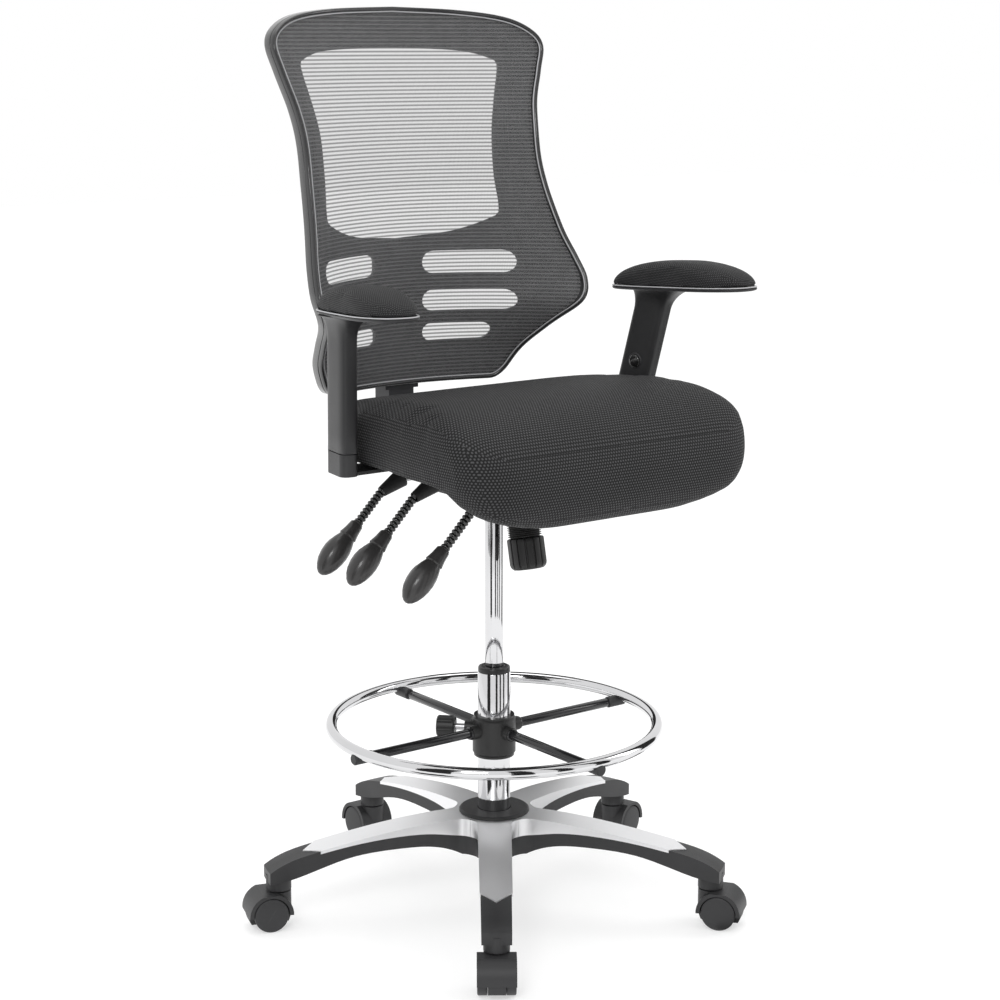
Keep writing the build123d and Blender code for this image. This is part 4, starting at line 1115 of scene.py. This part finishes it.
class CHAIR_OT_foot_ring(bpy.types.Operator):
    """Make the chromed foot ring and its spokes; finish the clips, collar and clamp knob"""
    bl_idname = "chair.foot_ring"
    bl_label = "Foot ring"

    def execute(self, context):
        tube = context.scene.chair_sizes.ring_tube / MM
        piece("foot_hoop", hollow("hoop", disc_section(RING_R, RING_Z, tube, 28), steps=180), "ring",
              "chrome", ["foot_ring"], angle=80)
        rod = [(2, 32), (6.9, 32), (7.2, 33), (7.2, 120), (7.2, 233), (6.6, 234), (2, 234)]
        cuff = [(7.2, 43), (9.4, 43), (9.9, 44), (9.9, 47.4), (9.2, 48.6), (7.2, 48.8)]
        spokes = []
        for k in range(SPOKE_COUNT):
            angle = 2 * pi * k / SPOKE_COUNT
            out = Vector((cos(angle), sin(angle), 0))
            where = axis_frame(Vector((0, 0, SPOKE_Z * MM)), out)
            spokes += [turned("spoke", rod, where, 32), turned("cuff", cuff, where, 32)]
        piece("hoop_spokes", joined("hoop_spokes", spokes), "ring", "gloss_steel",
              ["ring_spokes"], angle=50)
        dress("ring_clips", "nylon", 0.0008)
        dress("ring_collar", "knob_black", 0.0008)
        dress("ring_liner", "acetal", 0.0004)
        dress("ring_knob", "knob_black", 0.0008)
        dress("ring_stud", "zinc", 0)
        return {"FINISHED"}


# ---------------- base and casters


class CHAIR_OT_base(bpy.types.Operator):
    """Finish the five-leg base, its bright covers and the disc over the hub"""
    bl_idname = "chair.base"
    bl_label = "Base"

    def execute(self, context):
        dress("base_star", "nylon", 0.0010)
        dress("base_covers", "silver_cover", 0.0004)
        dress("hub_cover", "hub_black", 0.0006)
        dress("caster_stems", "zinc", 0)
        return {"FINISHED"}


class CHAIR_OT_casters(bpy.types.Operator):
    """Finish the caster hoods and axles and make the twin disc wheels"""
    bl_idname = "chair.casters"
    bl_label = "Casters"

    def execute(self, context):
        disc = [(4.4, 0.0), (24.8, 0.0), (WHEEL_R, 1.2), (WHEEL_R, 12.6), (25.6, 13.6), (24.4, 14.3),
                (22.0, 14.6), (14.0, 14.8), (6.0, 15.0), (0.5, 15.0)]
        for k, angle in enumerate(LEG_ANGLES, 1):
            hub = Vector((WHEEL_CIRCLE_R * cos(angle), WHEEL_CIRCLE_R * sin(angle), WHEEL_R)) * MM
            wheels = []
            for side in (-1, 1):
                out = Vector((-sin(angle), cos(angle), 0)) * side
                where = axis_frame(hub + out * WHEEL_INSIDE * MM, out)
                wheels.append(turned("wheel", disc, where, 72))
            piece(f"caster_disc_pair_{k}", joined("wheels", wheels), f"wheels_{k}", "wheel_disc",
                  [f"caster_wheels_{k}"], angle=30)
            dress(f"caster_hood_{k}", "nylon", 0.0010)
            dress(f"caster_axle_{k}", "zinc", 0)
        return {"FINISHED"}


# ---------------- stage


def aimed(obj, place, target):
    """Put an object in a place with its back to Z turned to a target."""
    obj.location = place
    obj.rotation_euler = (Vector(target) - Vector(place)).to_track_quat("-Z", "Y").to_euler()
    bpy.context.scene.collection.objects.link(obj)


def area_light(name, place, size, power):
    data = bpy.data.lights.new(name, "AREA")
    data.shape = "RECTANGLE"
    data.size, data.size_y = size
    data.energy = power
    aimed(bpy.data.objects.new(name, data), place, CHAIR_MIDDLE)


def card(name, place, target, size):
    """Dark board that is seen only in reflections."""
    mesh = bpy.data.meshes.new(name)
    w, h = size[0] / 2, size[1] / 2
    mesh.from_pydata([(-w, -h, 0), (w, -h, 0), (w, h, 0), (-w, h, 0)], [], [(0, 1, 2, 3)])
    obj = bpy.data.objects.new(name, mesh)
    aimed(obj, place, target)
    mesh.materials.append(Look(name).surface({"Base Color": (0.01, 0.01, 0.01, 1), "Roughness": 0.9}))
    obj.visible_camera = False
    obj.visible_shadow = False
    obj.visible_diffuse = False


class CHAIR_OT_stage(bpy.types.Operator):
    """Lay the pale floor and set the lights and the camera"""
    bl_idname = "chair.stage"
    bl_label = "Stage"

    def execute(self, context):
        scene = context.scene
        floor_mesh = bpy.data.meshes.new("floor")
        corners = [(x * FLOOR_REACH, y * FLOOR_REACH, 0) for x, y in ((-1, -1), (1, -1), (1, 1), (-1, 1))]
        floor_mesh.from_pydata(corners, [], [(0, 1, 2, 3)])
        floor = bpy.data.objects.new("floor", floor_mesh)
        floor.location.z = -FLOOR_DROP
        scene.collection.objects.link(floor)
        look = Look("pale_floor")
        floor_mesh.materials.append(look.surface({"Base Color": (0.55, 0.55, 0.55, 1), "Roughness": 0.95,
                                                  "Emission Color": (1, 1, 1, 1), "Emission Strength": 0.5}))

        world = bpy.data.worlds.new("studio")
        scene.world = world
        world.use_nodes = True
        backdrop = world.node_tree.nodes["Background"]
        backdrop.inputs["Color"].default_value = (1, 1, 1, 1)
        backdrop.inputs["Strength"].default_value = 1.0
        scene.view_settings.view_transform = "Standard"

        for name, (place, size, power) in LIGHTS.items():
            area_light(name, place, size, power)
        for number, (turn, width) in enumerate(DARK_BOARDS):
            x, y = cos(radians(turn)), sin(radians(turn))
            card(f"dark_board_{number}", (BOARD_RADIUS * x, BOARD_RADIUS * y, BOARD_MIDDLE),
                 (0, 0, BOARD_MIDDLE), (width, BOARD_HEIGHT))
            strip = width * STRIP_SHARE
            card(f"dark_strip_{number}", (STRIP_RADIUS * x, STRIP_RADIUS * y, STRIP_LIFT),
                 (STRIP_RADIUS * x, STRIP_RADIUS * y, 1.0), (strip, strip))

        camera_data = bpy.data.cameras.new("camera")
        camera_data.lens = 80.67
        camera_data.sensor_width = 36.0
        camera_data.shift_x = 0.0059
        camera_data.shift_y = 0.0014
        camera = bpy.data.objects.new("camera", camera_data)
        scene.collection.objects.link(camera)
        camera.location = (-1.9776, -2.6243, 1.3057)
        camera.rotation_euler = (radians(90 - 11.643), 0, -atan2(0.6018, 0.7986))
        scene.camera = camera
        return {"FINISHED"}


OPERATORS = (CHAIR_OT_stage, CHAIR_OT_base, CHAIR_OT_casters, CHAIR_OT_gas_lift, CHAIR_OT_foot_ring,
             CHAIR_OT_mechanism, CHAIR_OT_levers, CHAIR_OT_seat, CHAIR_OT_arm_posts, CHAIR_OT_arm_pads,
             CHAIR_OT_back_frame, CHAIR_OT_back_mesh)


class CHAIR_PT_panel(bpy.types.Panel):
    """Lists the chair's pieces"""
    bl_idname = "CHAIR_PT_panel"
    bl_label = "Drafting chair"
    bl_space_type = "VIEW_3D"
    bl_region_type = "UI"
    bl_category = "Chair"

    def draw(self, context):
        for group in (context.scene.chair_sizes, context.scene.chair_colours):
            for name in group.__annotations__:
                self.layout.prop(group, name)
        for operator in OPERATORS:
            self.layout.operator(operator.bl_idname)


CLASSES = (ChairSizes, ChairColours, *OPERATORS, CHAIR_PT_panel)


def register():
    for cls in CLASSES:
        bpy.utils.register_class(cls)
    bpy.types.Scene.chair_sizes = PointerProperty(type=ChairSizes)
    bpy.types.Scene.chair_colours = PointerProperty(type=ChairColours)


def unregister():
    del bpy.types.Scene.chair_colours
    del bpy.types.Scene.chair_sizes
    for cls in reversed(CLASSES):
        bpy.utils.unregister_class(cls)


def main():
    register()
    for operator in OPERATORS:
        group, name = operator.bl_idname.split(".")
        getattr(getattr(bpy.ops, group), name)()


if __name__ == "__main__":
    main()
